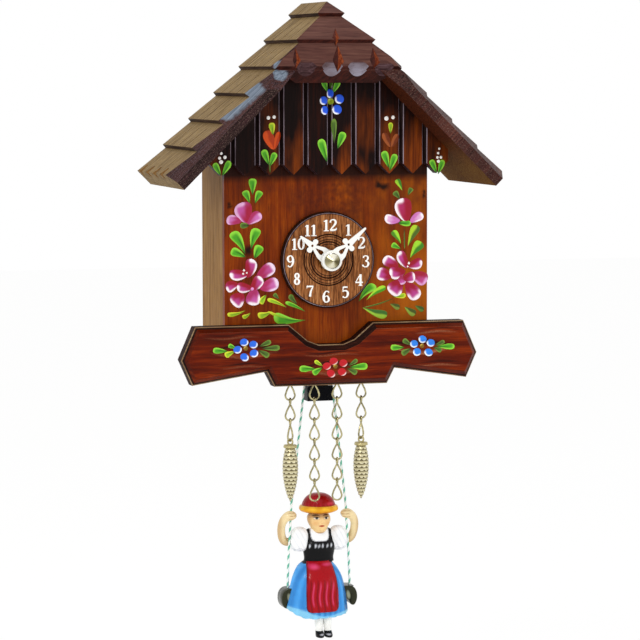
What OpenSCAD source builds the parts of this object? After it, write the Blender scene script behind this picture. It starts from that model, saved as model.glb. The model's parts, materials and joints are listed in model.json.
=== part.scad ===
// Miniature chalet wall clock with a doll on a swing, chains and cone weights.
// Row frame: X to the right, Y back to the wall, Z up, origin at the hanging hole in the back face.
// Every piece is drawn in the front frame (origin at the dial centre on the front panel's face)
// and moved once by from_front().

/* [House] */
// Width over the side walls
house_w = 83; // [78:0.5:88]
// Depth from the front panel's face to the wall
house_d = 36; // [34:0.5:42]
// Thickness of each side wall
wall_t = 4; // [3:0.25:5]
// Thickness of the front panel
front_t = 3; // [2.5:0.25:4]
// Thickness of the back panel
back_t = 3; // [2.5:0.25:4]
// Thickness of the floor
floor_t = 3.5; // [3:0.25:4.5]
// Underside of the floor below the dial centre
floor_drop = 42; // [41:0.25:43.5]
// Hanging hole above the dial centre
hang_rise = 68; // [60:0.5:72]
// Radius of the round part of the hanging hole
hang_r = 4; // [3.5:0.25:5]
// Width of the slot above the hanging hole
hang_slot_w = 3; // [2.5:0.25:3.25]
// Side of the square opening behind the movement
service_w = 58; // [54:0.5:62]

/* [Roof] */
// Height of the ridge above the dial centre
ridge_z = 100.9; // [98:0.1:104]
// Half width of the first shingle course at its lip
first_lip_x = 5.5; // [4.5:0.1:6.5]
// Drop of the first shingle course at its lip
first_lip_drop = 4.6; // [4:0.1:5.2]
// Slope of the roof in degrees
roof_angle = 44.7; // [42:0.1:48]
// Length of one shingle course along the slope
course_l = 14.64; // [13:0.1:15.5]
// Number of shingle courses on each side
courses = 7; // [6:1:8]
// Thickness of the undercut lip of a course
lip_t = 1.7; // [1:0.1:2.2]
// Thickness of the roof board
roof_t = 7.65; // [6:0.05:9]
// Overhang of the roof in front of the front panel
roof_front = 22.4; // [20:0.1:25]
// Overhang at which the front bevel starts
bevel_start = 14; // [12:0.1:17]
// Depth of the front bevel into the board
bevel_depth = 3.8; // [2.5:0.1:5]
// Spacing of the grooves between the shingles of a course
shingle_w = 12.3; // [10:0.1:14]
// Width of the groove between two shingles
shingle_gap = 0.6; // [0.4:0.05:0.9]
// Thickness of the hip board at the front
hip_t = 6; // [5:0.1:7]

/* [Gable boards] */
// Number of pointed slats
slats = 10; // [8:2:12]
// Width of one slat
slat_w = 9.74; // [9:0.02:10]
// Thickness of the slatted board
gable_t = 4.6; // [3.5:0.1:5.5]
// Height of the slats' tips above the dial centre
slat_tip_z = 33.6; // [30:0.1:35]
// Height of a slat's point
slat_point = 4.8; // [3:0.1:6]
// Height of the slatted board's top edge
gable_top_z = 78; // [74:0.5:80]
// Depth of the groove between two slats
slat_groove = 1.1; // [0.6:0.1:1.6]

/* [Base board] */
// Half width at the side points
board_half_w = 60.4; // [58:0.1:63]
// Thickness of the board
board_t = 8; // [7:0.1:9]
// Depth of the bevel on its front edge
board_bevel_t = 2.4; // [1.5:0.1:3]
// Width of the bevel on its front edge
board_bevel_w = 2.2; // [1.5:0.1:3]

/* [Dial and hands] */
// Radius of the dial
dial_r = 19; // [18:0.1:20]
// Thickness of the dial
dial_t = 2.8; // [2:0.1:3.2]
// Radius of the outer turned ring
ring_outer_r = 10; // [9.5:0.1:11]
// Radius of the inner turned ring
ring_inner_r = 7.2; // [6.8:0.1:8]
// Length of the minute hand
minute_l = 18.7; // [17:0.1:18.8]
// Length of the hour hand
hour_l = 15.8; // [14:0.1:16.5]
// Angle of the minute hand, clockwise from twelve
minute_a = 47.5; // [0:0.5:360]
// Angle of the hour hand, clockwise from twelve
hour_a = 308; // [0:0.5:360]
// Thickness of a hand
hand_t = 0.45; // [0.3:0.05:0.6]
// Radius of a hand's hub
hub_r = 4.05; // [3.8:0.05:4.4]

/* [Movement] */
// Length of the AA cell over its nub
cell_l = 50.1; // [49.5:0.1:50.5]
// Space for a contact between the cell's end and the case's wall
contact_gap = 1.45; // [1.2:0.05:1.6]
// Depth of the movement case
case_d = 16.5; // [16.2:0.1:18]
// Wall of the movement case
case_t = 1.5; // [1.2:0.1:1.6]
// Radius of the threaded bush
bush_r = 3.3; // [3.2:0.05:3.5]
// Radius of the minute arbor
arbor_r = 1.3; // [1.2:0.05:1.4]
// Outer radius of the hour tube
tube_r = 2.1; // [2:0.05:2.3]
// Tooth module of the motion work
gear_module = 0.5; // [0.45:0.01:0.52]
// Running clearance on radius
run = 0.05; // [0.03:0.01:0.08]

/* [Swing] */
// Distance of the swing behind the front panel's face
swing_y = 12.4; // [12:0.1:13]
// Height of the swing's pivot above the floor's top
pivot_rise = 4; // [3.8:0.1:4.4]
// Radius of the pivot pin
pin_r = 0.75; // [0.6:0.05:0.9]
// Half width of the rocker's block
rocker_half_w = 5.2; // [4.6:0.05:5.2]
// Diameter of the swing's cords
cord_d = 0.9; // [0.8:0.05:1]

/* [Chains and weights] */
// Distance of the chains behind the front panel's face
chain_y = 1.8; // [1.6:0.1:2.2]
// Distance of an outer chain from the middle
chain_outer_x = 14.6; // [13:0.1:16]
// Distance of an inner chain from the middle
chain_inner_x = 4.65; // [4:0.05:5.5]
// Height of a chain's hanging wire below the floor
staple_drop = 5.3; // [5:0.1:5.6]
// Distance from one ring's bottom to the next
link_pitch = 8.1; // [7.6:0.05:8.2]
// Diameter of the chain wire
wire_d = 0.7; // [0.6:0.05:0.75]
// Radius of a link's ring at the middle of the wire
link_ring_r = 1.95; // [1.7:0.05:2.2]
// Radius of a link's eye at the middle of the wire
link_eye_r = 0.9; // [0.85:0.05:1]
// Links in an inner chain
inner_links = 6; // [4:1:6]
// Length of a cone weight under its collar
cone_l = 21.3; // [20:0.1:23]
// Largest radius of a cone weight
cone_r = 3.25; // [2.8:0.05:3.6]

/* [Hidden] */

$fn = 64;
eps = 0.01;
// Reach of a cutting shape that only has to clear the part
far = 200;

// Roof profile: lip and recess points of the side slope, from the ridge down
step_x = course_l * cos(roof_angle);
step_z = course_l * sin(roof_angle);
lip_back = [-lip_t * 0.62, -lip_t * 0.78];
function lip(k) = [first_lip_x + (k - 1) * step_x, ridge_z - first_lip_drop - (k - 1) * step_z];
function recess(k) = lip(k) + lip_back;
eave = lip(courses);
roof_normal = [sin(roof_angle), cos(roof_angle)];
eave_under = eave - roof_t * roof_normal;
under_apex_z = eave_under[1] + eave_under[0] * tan(roof_angle);
function under_z(x) = under_apex_z - abs(x) * tan(roof_angle);
function under_x(z) = (under_apex_z - z) / tan(roof_angle);

// Hip profile: front overhang of the ridge and of the first three lips
hip_front = [1, 6.9, 13.7, 17.5];
hip_courses = 3;
hip_slope = atan2(ridge_z - lip(hip_courses)[1], hip_front[3] - hip_front[0]);

// Heights and depths shared by the case, the movement and the swing
floor_top_z = floor_t - floor_drop;
inner_half_w = house_w / 2 - wall_t;
pivot_z = floor_top_z + pivot_rise;
case_y0 = front_t;
case_y1 = case_y0 + case_d;
bush_front = dial_t + 1.8;
hour_y = bush_front + 1.1;
minute_y = hour_y + 1.5;

// Motion work: 10 to 30 and 8 to 32 teeth on one centre distance
cannon_teeth = 10;
setter_teeth = 30;
setter_leaves = 8;
hour_teeth = 32;
train_gap = gear_module * (cannon_teeth + setter_teeth) / 2;
setter_r = 1;
// Radius of the arbor's tip, as a part of the arbor's radius
arbor_tip = 0.8;

// Chains
wire_r = wire_d / 2;
staple_z = -floor_drop - staple_drop;
link_h = link_pitch + wire_d + 0.05;
// Turn of the ring of the link over a weight, and the weight's eye at right angles to it
flat_link_a = 45;
cone_eye_r = 1.1;
cone_eye_z = staple_z - 3 * link_pitch + wire_d + 0.05 - cone_eye_r;
collar_z = cone_eye_z - cone_eye_r + 0.05;

// Swing
hand_hole = [11.3, -103];
seat_top_z = -131.2;
cord_ear = [5.15, -45.5];
seat_hole_x = 12.9;

module from_front() {
    translate([0, -house_d, -hang_rise])
        children();
}

// Extrudes an XZ outline from y0 to y1
module slab(y0, y1) {
    translate([0, y1, 0])
        rotate([90, 0, 0])
            linear_extrude(height = y1 - y0)
                children();
}

// Lies a shape that was made about Z along Y, its top to the back, starting at y0
module along_y(y0) {
    translate([0, y0, 0])
        rotate([-90, 0, 0])
            children();
}

// Outline of the gable between the floor and the roof
module gable_outline(half_w, z0) {
    polygon([[-half_w, z0], [half_w, z0], [half_w, under_z(half_w)], [0, under_apex_z],
        [-half_w, under_z(half_w)]]);
}

// House
module front_panel() {
    color("#8a3f14")
        from_front()
            difference() {
                slab(0, front_t)
                    gable_outline(house_w / 2, floor_top_z);
                along_y(-1)
                    cylinder(r = bush_r + 0.15, h = front_t + 2);
            }
}

module side_wall(side) {
    color("#8a6c40")
        from_front()
            slab(front_t, house_d)
                polygon([[side * inner_half_w, floor_top_z], [side * house_w / 2, floor_top_z],
                    [side * house_w / 2, under_z(house_w / 2)],
                    [side * inner_half_w, under_z(inner_half_w)]]);
}

module side_wall_left() {
    side_wall(-1);
}

module side_wall_right() {
    side_wall(1);
}

module floor_board() {
    slot_w = 2 * cord_ear[0] + 6;
    slot_l = 11;
    color("#8a6c40")
        from_front()
            difference() {
                slab(0, house_d)
                    translate([-house_w / 2, -floor_drop])
                        square([house_w, floor_t]);
                translate([-slot_w / 2, swing_y - slot_l / 2, -floor_drop - 1])
                    cube([slot_w, slot_l, floor_t + 2]);
                staple_sites()
                    translate([0, 0, staple_z])
                        cylinder(r = wire_r + eps, h = staple_drop + 2.2);
                frame_screw_sites()
                    translate([0, 0, floor_top_z - 3])
                        cylinder(r = 0.9, h = 4);
            }
}

module back_panel() {
    color("#9a7a4c")
        from_front()
            difference() {
                slab(house_d - back_t, house_d)
                    gable_outline(inner_half_w, floor_top_z);
                translate([-service_w / 2, house_d - back_t - 1, -service_w / 2])
                    cube([service_w, back_t + 2, service_w]);
                translate([0, 0, hang_rise])
                    along_y(house_d - back_t - 1)
                        cylinder(r = hang_r, h = back_t + 2);
                translate([-hang_slot_w / 2, house_d - back_t - 1, hang_rise])
                    cube([hang_slot_w, back_t + 2, hang_r + 3.5]);
                translate([0, 0, hang_rise + hang_r + 3.5])
                    along_y(house_d - back_t - 1)
                        cylinder(r = hang_slot_w / 2, h = back_t + 2);
            }
}

module gable_board() {
    first_x = -slats * slat_w / 2;
    tips = [for (i = [0 : slats - 1], p = [0, 1])
        [first_x + (i + p / 2) * slat_w, slat_tip_z + slat_point * (1 - p)]];
    top = [[-first_x, slat_tip_z + slat_point], [-first_x, under_z(first_x)],
        [under_x(gable_top_z), gable_top_z], [-under_x(gable_top_z), gable_top_z],
        [first_x, under_z(first_x)]];
    color("#3a1c10")
        from_front()
            difference() {
                slab(-gable_t, 0)
                    polygon(concat(tips, top));
                for (i = [1 : slats - 1])
                    translate([first_x + i * slat_w, -gable_t, 0])
                        rotate([0, 0, 45])
                            translate([-slat_groove / 1.42, -slat_groove / 1.42, 0])
                                cube([slat_groove * 1.42, slat_groove * 1.42, gable_top_z + 5]);
            }
}

// Roof
module side_profile(side) {
    steps = [for (k = [1 : courses - 1], p = [0, 1]) p == 0 ? lip(k) : recess(k)];
    points = concat([[0, ridge_z]], steps, [eave, eave_under, [0, under_apex_z]]);
    polygon([for (p = points) [side * p[0], p[1]]]);
}

// Stepped hip profile in the YZ plane, filled back to the wall and down past the eaves
module hip_limit() {
    steps = [for (k = [1 : hip_courses], p = [0, 1])
        [hip_front[k] - p * lip_t * 0.5, lip(k)[1] + p * lip_back[1]]];
    front = concat([[hip_front[0], ridge_z]], steps,
        [[roof_front, lip(hip_courses)[1] + lip_back[1]
            - (roof_front - hip_front[hip_courses]) * tan(hip_slope)], [roof_front, 0], [-house_d, 0],
            [-house_d, ridge_z]]);
    rotate([0, 0, 180])
        rotate([90, 0, 90])
            linear_extrude(height = far, center = true)
                polygon(front);
}

// Slab of the hip, parallel to its slope
module hip_slab() {
    run_z = lip(hip_courses)[1];
    normal = [sin(hip_slope), cos(hip_slope)] * hip_t;
    top_y = hip_front[0] - 4;
    rotate([0, 0, 180])
        rotate([90, 0, 90])
            linear_extrude(height = far, center = true)
                polygon([[top_y, ridge_z + 5], [hip_front[3], ridge_z + 5],
                    [hip_front[3], run_z], [hip_front[3] - 0.8, run_z - 1.8],
                    [hip_front[3] - 3.6, run_z - 6.4],
                    [hip_front[3] - normal[0] - 0.4, run_z - 6.4],
                    [hip_front[3] - normal[0] - 1.4, run_z - normal[1] + 1.5],
                    [top_y - normal[0], ridge_z - normal[1] + 4 * tan(hip_slope)]]);
}

// Region in front of the mitre lines, from above
module hip_zone() {
    corners = [for (k = [1 : hip_courses]) [lip(k)[0], -hip_front[k]]];
    last = corners[hip_courses - 1];
    half = concat([[0, -hip_front[0]]], corners, [[last[0], -far]]);
    left = [for (i = [len(half) - 1 : -1 : 1]) [-half[i][0], half[i][1]]];
    linear_extrude(height = 2 * ridge_z, center = true)
        polygon(concat(half, left));
}

// Wedge that bevels the front end of one roof board
module front_bevel(side) {
    translate([side * first_lip_x, 0, ridge_z - first_lip_drop])
        rotate([0, side * roof_angle, 0])
            translate([-far / 2, 0, 0])
                rotate([90, 0, 90])
                    linear_extrude(height = far)
                        polygon([[-bevel_start + 4.42, 2], [-bevel_start, 0],
                            [-roof_front, -bevel_depth], [-roof_front - 8, -bevel_depth],
                            [-roof_front - 8, 2]]);
}

// Grooves between the shingles of every course but the last
module shingle_grooves(side) {
    course_a = atan2(lip(1)[1] + lip_back[1] - lip(2)[1], step_x - lip_back[0]);
    for (k = [1 : courses - 1], i = [-1 : 1])
        translate([side * lip(k)[0], 10.5 + i * shingle_w, lip(k)[1]])
            rotate([0, side * course_a, 0])
                translate([side > 0 ? -course_l * 0.78 : -1, -shingle_gap / 2, -0.45])
                    cube([course_l * 0.78 + 1, shingle_gap, 2]);
}

// Gouges that shape the shingle ends along the eave
module eave_gouges(side) {
    for (i = [-2 : 1])
        translate([side * eave[0], 10.5 + (i + 0.5) * shingle_w + 1.5, eave[1]])
            rotate([0, side * (roof_angle + 20), 0])
                rotate([45, 0, 0])
                    translate([side > 0 ? -3.4 : -4, -1.9, -1.9])
                        cube([7.4, 3.8, 3.8]);
}

module hip_points() {
    for (x = [-13, -2.6, 7.8, 18.2])
        translate([x, -hip_front[3] - 5, lip(hip_courses)[1] - 1])
            rotate([8, 0, 0])
                cylinder(r = 6.6, h = 24, center = true);
}

module hip_chips() {
    sites = [[0, 2, 1.2], [-13.4, 3, 3.4], [0, 3, 2.6], [13.4, 3, 3.4]];
    for (s = sites)
        translate([s[0], -hip_front[s[1]] - 0.2, lip(s[1])[1] + s[2]])
            rotate([hip_slope - 90 + 18, 0, 0])
                rotate([0, 45, 0])
                    translate([-1.25, -1, -1.25])
                        cube([2.5, 2, 2.5]);
}

module roof_side(side) {
    color("#8c7448")
        from_front()
            difference() {
                intersection() {
                    slab(-roof_front, house_d)
                        side_profile(side);
                    hip_limit();
                }
                hip_body();
                front_bevel(side);
                shingle_grooves(side);
                eave_gouges(side);
            }
}

module hip_body() {
    intersection() {
        hip_limit();
        hip_slab();
        hip_zone();
        slab(-roof_front - 5, house_d)
            side_cover();
        bevel_keep();
    }
}

// Profile of both slopes' first courses, filled down to the dial centre
module side_cover() {
    steps = [for (k = [1 : hip_courses + 1], p = [0, 1]) p == 0 ? lip(k) : recess(k)];
    right = concat(steps, [[recess(hip_courses + 1)[0], 0]]);
    left = [for (i = [len(right) - 1 : -1 : 0]) [-right[i][0], right[i][1]]];
    polygon(concat([[0, ridge_z]], right, left));
}

// Everything behind the bevels of both roof boards
module bevel_keep() {
    difference() {
        translate([-far / 2, -far / 2, 0])
            cube([far, far, ridge_z + 10]);
        front_bevel(1);
        front_bevel(-1);
    }
}

module roof_left() {
    roof_side(-1);
}

module roof_right() {
    roof_side(1);
}

module roof_hip() {
    color("#6b4238")
        from_front()
            difference() {
                hip_body();
                hip_points();
                hip_chips();
            }
}

// Lofts and sweeps
function unit(v) = v / norm(v);

function loft_faces(rings, n) = [for (j = [0 : rings - 2], i = [0 : n - 1])
    let (a = j * n + i, b = j * n + (i + 1) % n)
    each [[a, a + n, b + n], [a, b + n, b]]];

// Closed solid through rings of points; each ring runs anticlockwise seen from the last one's side
module loft(rings) {
    n = len(rings[0]);
    last = (len(rings) - 1) * n;
    polyhedron(
        points = [for (r = rings, p = r) p],
        faces = concat(loft_faces(len(rings), n), [[for (i = [0 : n - 1]) i]],
            [[for (i = [n - 1 : -1 : 0]) last + i]]));
}

// Ring of n points about a point, square to a direction
function tube_ring(p, t, side, r, n) =
    let (e1 = unit(side - (side * t) * t), e2 = cross(t, e1))
    [for (i = [0 : n - 1]) p + r * (cos(360 * i / n) * e1 + sin(360 * i / n) * e2)];

function tangent(path, i) = unit(path[min(i + 1, len(path) - 1)] - path[max(i - 1, 0)]);

// Tube along a path, with one radius for each point
module tube(path, radii, n = 8, side = [0, 1, 0]) {
    loft([for (i = [0 : len(path) - 1]) tube_ring(path[i], tangent(path, i), side, radii[i], n)]);
}

// Ring of an upright form: centre x and y, half widths in x and y, height
function oval(cx, cy, rx, ry, z, n = 16) =
    [for (i = [0 : n - 1]) [cx + rx * cos(360 * i / n), cy + ry * sin(360 * i / n), z]];

// Base board
module base_board() {
    half = [[5, -33], [9.6, -31.2], [17.2, -24.8], [board_half_w - 5.6, -24.8],
        [board_half_w, -37.7], [board_half_w - 4.4, -47.6], [26.1, -43], [23, -49]];
    right = [for (i = [len(half) - 1 : -1 : 0]) half[i]];
    left = [for (i = [0 : len(half) - 1]) [-half[i][0], half[i][1]]];
    outline = concat(right, left);
    color("#6b1f08")
        from_front()
            difference() {
                slab(-board_t, 0)
                    polygon(outline);
                for (i = [0 : len(outline) - 1])
                    edge_bevel(outline[i], outline[(i + 1) % len(outline)],
                        outline[(i + 2) % len(outline)], outline[(i + len(outline) - 1) % len(outline)]);
            }
}

// Positive where the outline turns left, as it does round an outer corner
function turn(a, b, c) = (b[0] - a[0]) * (c[1] - b[1]) - (b[1] - a[1]) * (c[0] - b[0]);

// Cutter that bevels the front edge from p to q and runs past its outer corners
module edge_bevel(p, q, after, before) {
    start = turn(before, p, q) > 0 ? 4 : 0;
    end = turn(p, q, after) > 0 ? 4 : 0;
    translate([p[0], 0, p[1]])
        rotate([0, -atan2(q[1] - p[1], q[0] - p[0]), 0])
            translate([-start, -board_t, 0])
                rotate([90, 0, 90])
                    linear_extrude(height = norm(q - p) + start + end)
                        polygon([[board_bevel_t * 1.5, -board_bevel_w / 2],
                            [-board_bevel_t / 2, board_bevel_w * 1.5],
                            [-board_bevel_t / 2, -board_bevel_w / 2]]);
}

// Dial and hands
module dial() {
    color("#8a5a2c")
        from_front()
            rotate([90, 0, 0])
                rotate_extrude($fn = 96)
                    polygon([[bush_r + 0.15, 0], [dial_r, 0], [dial_r, dial_t - 0.9],
                        [dial_r - 0.5, dial_t - 0.2], [dial_r - 1.1, dial_t],
                        [ring_outer_r + 0.35, dial_t], [ring_outer_r, dial_t - 0.5],
                        [ring_outer_r - 0.5, dial_t - 0.15], [ring_inner_r + 0.4, dial_t - 0.15],
                        [ring_inner_r, dial_t - 0.6], [ring_inner_r - 0.6, dial_t - 0.25],
                        [hub_r + 0.5, dial_t - 0.25], [hub_r + 0.15, dial_t - 0.6],
                        [bush_r + 0.15, dial_t - 0.6]]);
}

// Round nut that holds the dial and the movement to the front panel, with two spanner slots
module bush_nut() {
    color("#b8923c")
        from_front()
            rotate([90, 0, 0])
                difference() {
                    translate([0, 0, dial_t - 0.6])
                        cylinder(r = hub_r, h = 1.9);
                    cylinder(r = bush_r, h = 10);
                    translate([-hub_r - 1, -0.4, dial_t + 0.7])
                        cube([2 * hub_r + 2, 0.8, 1]);
                }
}

// Outline of a pierced hand that points up, with its lobes a given way along it
module hand_outline(length, lobes) {
    tip_r = 0.42;
    difference() {
        union() {
            circle(r = hub_r);
            polygon([[-2.9, 2.4], [-2.55, lobes * 0.54], [-0.95, lobes - 1], [0.95, lobes - 1],
                [2.55, lobes * 0.54], [2.9, 2.4]]);
            for (side = [-1, 1])
                translate([side * 2.0, lobes - 0.1])
                    circle(r = 1.05, $fn = 32);
            translate([-2, lobes - 1.05])
                square([4, 1.9]);
            polygon([[-1.35, lobes - 0.4], [-tip_r, length - tip_r], [tip_r, length - tip_r],
                [1.35, lobes - 0.4]]);
            translate([0, length - tip_r])
                circle(r = tip_r, $fn = 24);
        }
        polygon([[-0.7, hub_r + 0.2], [-0.95, hub_r + 1.1], [0, lobes - 1.4], [0.95, hub_r + 1.1],
            [0.7, hub_r + 0.2]]);
        translate([0, lobes])
            circle(r = 0.5, $fn = 24);
    }
}

module hand(length, lobes, y, angle, bore_r) {
    from_front()
        rotate([0, angle, 0])
            translate([0, -y, 0])
                rotate([90, 0, 0])
                    difference() {
                        union() {
                            linear_extrude(height = hand_t)
                                hand_outline(length, lobes);
                            translate([0, 0, -0.45])
                                cylinder(r = bore_r + 0.55, h = 0.45 + hand_t);
                        }
                        translate([0, 0, -2])
                            cylinder(r = bore_r, h = 5);
                    }
}

module hour_hand() {
    color("#f4f2ec")
        hand(hour_l, 9.6, hour_y, hour_a, tube_r);
}

module minute_hand() {
    color("#f4f2ec")
        hand(minute_l, 9.2, minute_y, minute_a, arbor_r * arbor_tip);
}

module hand_nut() {
    tip_r = arbor_r * arbor_tip;
    y0 = minute_y + hand_t;
    color("#c9c4a4")
        from_front()
            rotate([90, 0, 0])
                rotate_extrude()
                    polygon([[tip_r, y0], [3.05, y0], [3.05, y0 + 0.5], [2.75, y0 + 0.8],
                        [0.35, y0 + 2.4], [0, y0 + 2.45], [0, y0 + 1.3], [tip_r, y0 + 1.3]]);
}

// Movement
// Side of the square case, which holds the cell across its foot
case_w = cell_l + 2 * (case_t + contact_gap);
module movement_case() {
    half = case_w / 2;
    inner = case_w - 2 * case_t;
    bay_top = battery_z() + battery_r + 0.4;
    color("#26282a")
        from_front()
            difference() {
                union() {
                    difference() {
                        translate([-half, case_y0, -half])
                            cube([case_w, case_d - case_t, case_w]);
                        translate([case_t - half, case_y0 + case_t, case_t - half])
                            cube([inner, case_d, inner]);
                    }
                    translate([case_t - half - eps, case_y0 + case_t - eps, bay_top])
                        cube([inner + 2 * eps, case_d - 2 * case_t, 1.2]);
                    along_y(-bush_front)
                        cylinder(r = bush_r, h = bush_front + case_y0 + eps);
                    translate([0, 0, setter_z])
                        along_y(case_y0 + case_t - eps)
                            cylinder(r = 2, h = 0.8);
                    board_posts()
                        cylinder(r = 1.4, h = board_rise + eps);
                }
                along_y(-bush_front - 1)
                    cylinder(r = tube_r + run, h = bush_front + case_y0 + case_t + 2);
                translate([0, 0, setter_z])
                    along_y(case_y0 + 0.5)
                        cylinder(r = setter_r + run, h = 5);
            }
}

setter_z = train_gap;
battery_r = 7.1;
function battery_z() = -case_w / 2 + case_t + battery_r;

// Posts that carry the circuit board off the case's front wall
board_rise = 2.6;
module board_posts() {
    for (x = [5, 15], z = [10, 32])
        translate([case_w / 2 - x, 0, case_w / 2 - z])
            along_y(case_y0 + case_t - eps)
                children();
}

module movement_cover() {
    half = case_w / 2;
    color("#2c2e30")
        from_front()
            difference() {
                union() {
                    translate([-half, case_y1 - case_t, -half])
                        cube([case_w, case_t, case_w]);
                    along_y(case_y1 - case_t - 1.5)
                        cylinder(r = 2.4, h = 1.5 + eps);
                }
                translate([-cell_l / 2 - 0.95, case_y1 - case_t - 1,
                    battery_z() - battery_r - 0.1])
                    cube([cell_l + 1.9, case_t + 2, 2 * battery_r + 0.2]);
                translate([0, 0, setter_z])
                    along_y(case_y1 - case_t - 1)
                        cylinder(r = setter_r + run, h = case_t + 2);
                along_y(case_y1 - case_t - 2)
                    cylinder(r = 0.8 + run, h = 2.6);
            }
}

// Cell between its contacts
module battery() {
    color("#b9bcc0")
        from_front()
            translate([-cell_l / 2, case_y0 + case_t + battery_r + 0.3, battery_z()])
                rotate([0, 90, 0])
                    rotate_extrude()
                        polygon([[0, 0], [battery_r - 0.4, 0], [battery_r, 0.4],
                            [battery_r, cell_l - 1.5], [battery_r - 0.5, cell_l - 1],
                            [2.7, cell_l - 1], [2.7, cell_l], [0, cell_l]]);
}

module battery_contacts() {
    color("#c8cacc")
        from_front()
            for (side = [-1, 1])
                translate([side * (case_w / 2 - case_t), case_y0 + case_t + battery_r + 0.3,
                    battery_z()]) {
                    translate([side > 0 ? -0.5 : 0, -4.5, -4])
                        cube([0.5, 9, 8]);
                    rotate([0, -side * 90, 0])
                        cylinder(r = 2.2, h = contact_gap);
                }
}

module step_coil() {
    color("#b4642c")
        from_front()
            translate([-17, case_y0 + case_t + 3.2, 12]) {
                cylinder(r = 2.7, h = 13);
                for (z = [0, 12])
                    translate([-3.2, -3.2, z])
                        cube([6.4, 6.4, 1]);
            }
}

module circuit_board() {
    color("#2f5a34")
        from_front()
            difference() {
                translate([case_w / 2 - 17, case_y0 + case_t + board_rise, case_w / 2 - 34])
                    cube([14, 1, 26]);
                translate([case_w / 2 - 10, 0, case_w / 2 - 21])
                    along_y(0)
                        cylinder(r = 1.1, h = 20);
            }
}

// Spur wheel in the XY plane with straight-flanked teeth
module spur(teeth, thickness) {
    pitch_r = gear_module * teeth / 2;
    root_r = pitch_r - 1.15 * gear_module;
    tip_r = pitch_r + 0.8 * gear_module;
    root_a = 360 / teeth * 0.34;
    pitch_a = 360 / teeth * 0.22;
    tip_a = 360 / teeth * 0.09;
    steps = [[root_r, -root_a], [pitch_r, -pitch_a], [tip_r, -tip_a], [tip_r, tip_a],
        [pitch_r, pitch_a], [root_r, root_a]];
    linear_extrude(height = thickness)
        polygon([for (i = [0 : teeth - 1], s = steps)
            let (a = 360 * i / teeth + s[1])
            s[0] * [cos(a), sin(a)]]);
}

module minute_arbor() {
    wheel_y = case_y0 + case_t + 4.2;
    rear_y = case_y1 - case_t + 0.4;
    color("#b8923c")
        from_front() {
            along_y(wheel_y)
                rotate([0, 0, 90])
                    spur(cannon_teeth, 1.6);
            along_y(-minute_y + 0.45)
                cylinder(r = arbor_r, h = wheel_y + minute_y - 0.45 + eps);
            along_y(-minute_y - hand_t - 1.2)
                cylinder(r = arbor_r * arbor_tip, h = 1.65 + hand_t + eps);
            along_y(wheel_y)
                cylinder(r = 0.8, h = rear_y - wheel_y);
        }
}

module hour_wheel() {
    wheel_y = case_y0 + case_t + 1;
    color("#d8d4c8")
        from_front()
            difference() {
                union() {
                    along_y(wheel_y)
                        rotate([0, 0, 90 + 180 / hour_teeth])
                            spur(hour_teeth, 1.2);
                    along_y(-hour_y - hand_t - 0.1)
                        cylinder(r = tube_r, h = wheel_y + hour_y + hand_t + 0.1 + eps);
                }
                along_y(-minute_y - 5)
                    cylinder(r = arbor_r + run, h = 40);
            }
}

module setting_wheel() {
    front_y = case_y0 + case_t - 0.6;
    color("#d8d4c8")
        from_front()
            translate([0, 0, setter_z]) {
                along_y(front_y)
                    cylinder(r = setter_r, h = case_y1 + 1.5 - front_y);
                along_y(case_y0 + case_t + 0.9)
                    rotate([0, 0, 90])
                        spur(setter_leaves, 1.4);
                along_y(case_y0 + case_t + 4.4)
                    rotate([0, 0, 90 + 180 / setter_teeth])
                        spur(setter_teeth, 1.2);
            }
}

module setting_knob() {
    grip_r = 4.5;
    color("#1c1c1e")
        from_front()
            translate([0, 0, setter_z])
                along_y(case_y1 + 0.3)
                    difference() {
                        cylinder(r = grip_r, h = 3.2);
                        translate([0, 0, -1])
                            cylinder(r = setter_r, h = 2.2);
                        for (i = [0 : 17])
                            rotate([0, 0, i * 20])
                                translate([grip_r + 0.25, 0, -1])
                                    cylinder(r = 0.5, h = 6, $fn = 16);
                    }
}

// Swing drive
module frame_screw_sites() {
    for (side = [-1, 1])
        translate([side * 12.5, swing_y + 3, 0])
            children();
}

module swing_frame() {
    plate_t = 1.2;
    cheek_x = 7.6;
    cheek_t = 1.6;
    slot_w = 2 * cord_ear[0] + 4;
    color("#303234")
        from_front()
            difference() {
                union() {
                    difference() {
                        translate([-15.5, swing_y - 7, floor_top_z])
                            cube([31, 23, plate_t]);
                        translate([-slot_w / 2, swing_y - 5, floor_top_z - 1])
                            cube([slot_w, 10, plate_t + 2]);
                    }
                    for (side = [-1, 1])
                        translate([side * (cheek_x + cheek_t / 2) - cheek_t / 2, swing_y - 3.2,
                            floor_top_z])
                            cube([cheek_t, 6.4, pivot_rise + 2.2]);
                }
                translate([-15, swing_y, pivot_z])
                    rotate([0, 90, 0])
                        cylinder(r = pin_r, h = 30);
                frame_screw_sites()
                    translate([0, 0, floor_top_z - 1])
                        cylinder(r = 1.1, h = 5);
            }
}

module frame_screws() {
    color("#c8b060")
        from_front()
            frame_screw_sites() {
                translate([0, 0, floor_top_z - 2.9])
                    cylinder(r = 0.85, h = 4.1 + eps);
                translate([0, 0, floor_top_z + 1.2])
                    difference() {
                        cylinder(r1 = 1.9, r2 = 1.3, h = 1.1);
                        translate([-2, -0.2, 0.6])
                            cube([4, 0.4, 1]);
                    }
            }
}

module swing_pin() {
    color("#c8cacc")
        from_front()
            translate([-9.4, swing_y, pivot_z])
                rotate([0, 90, 0])
                    cylinder(r = pin_r, h = 18.8);
}

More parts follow.
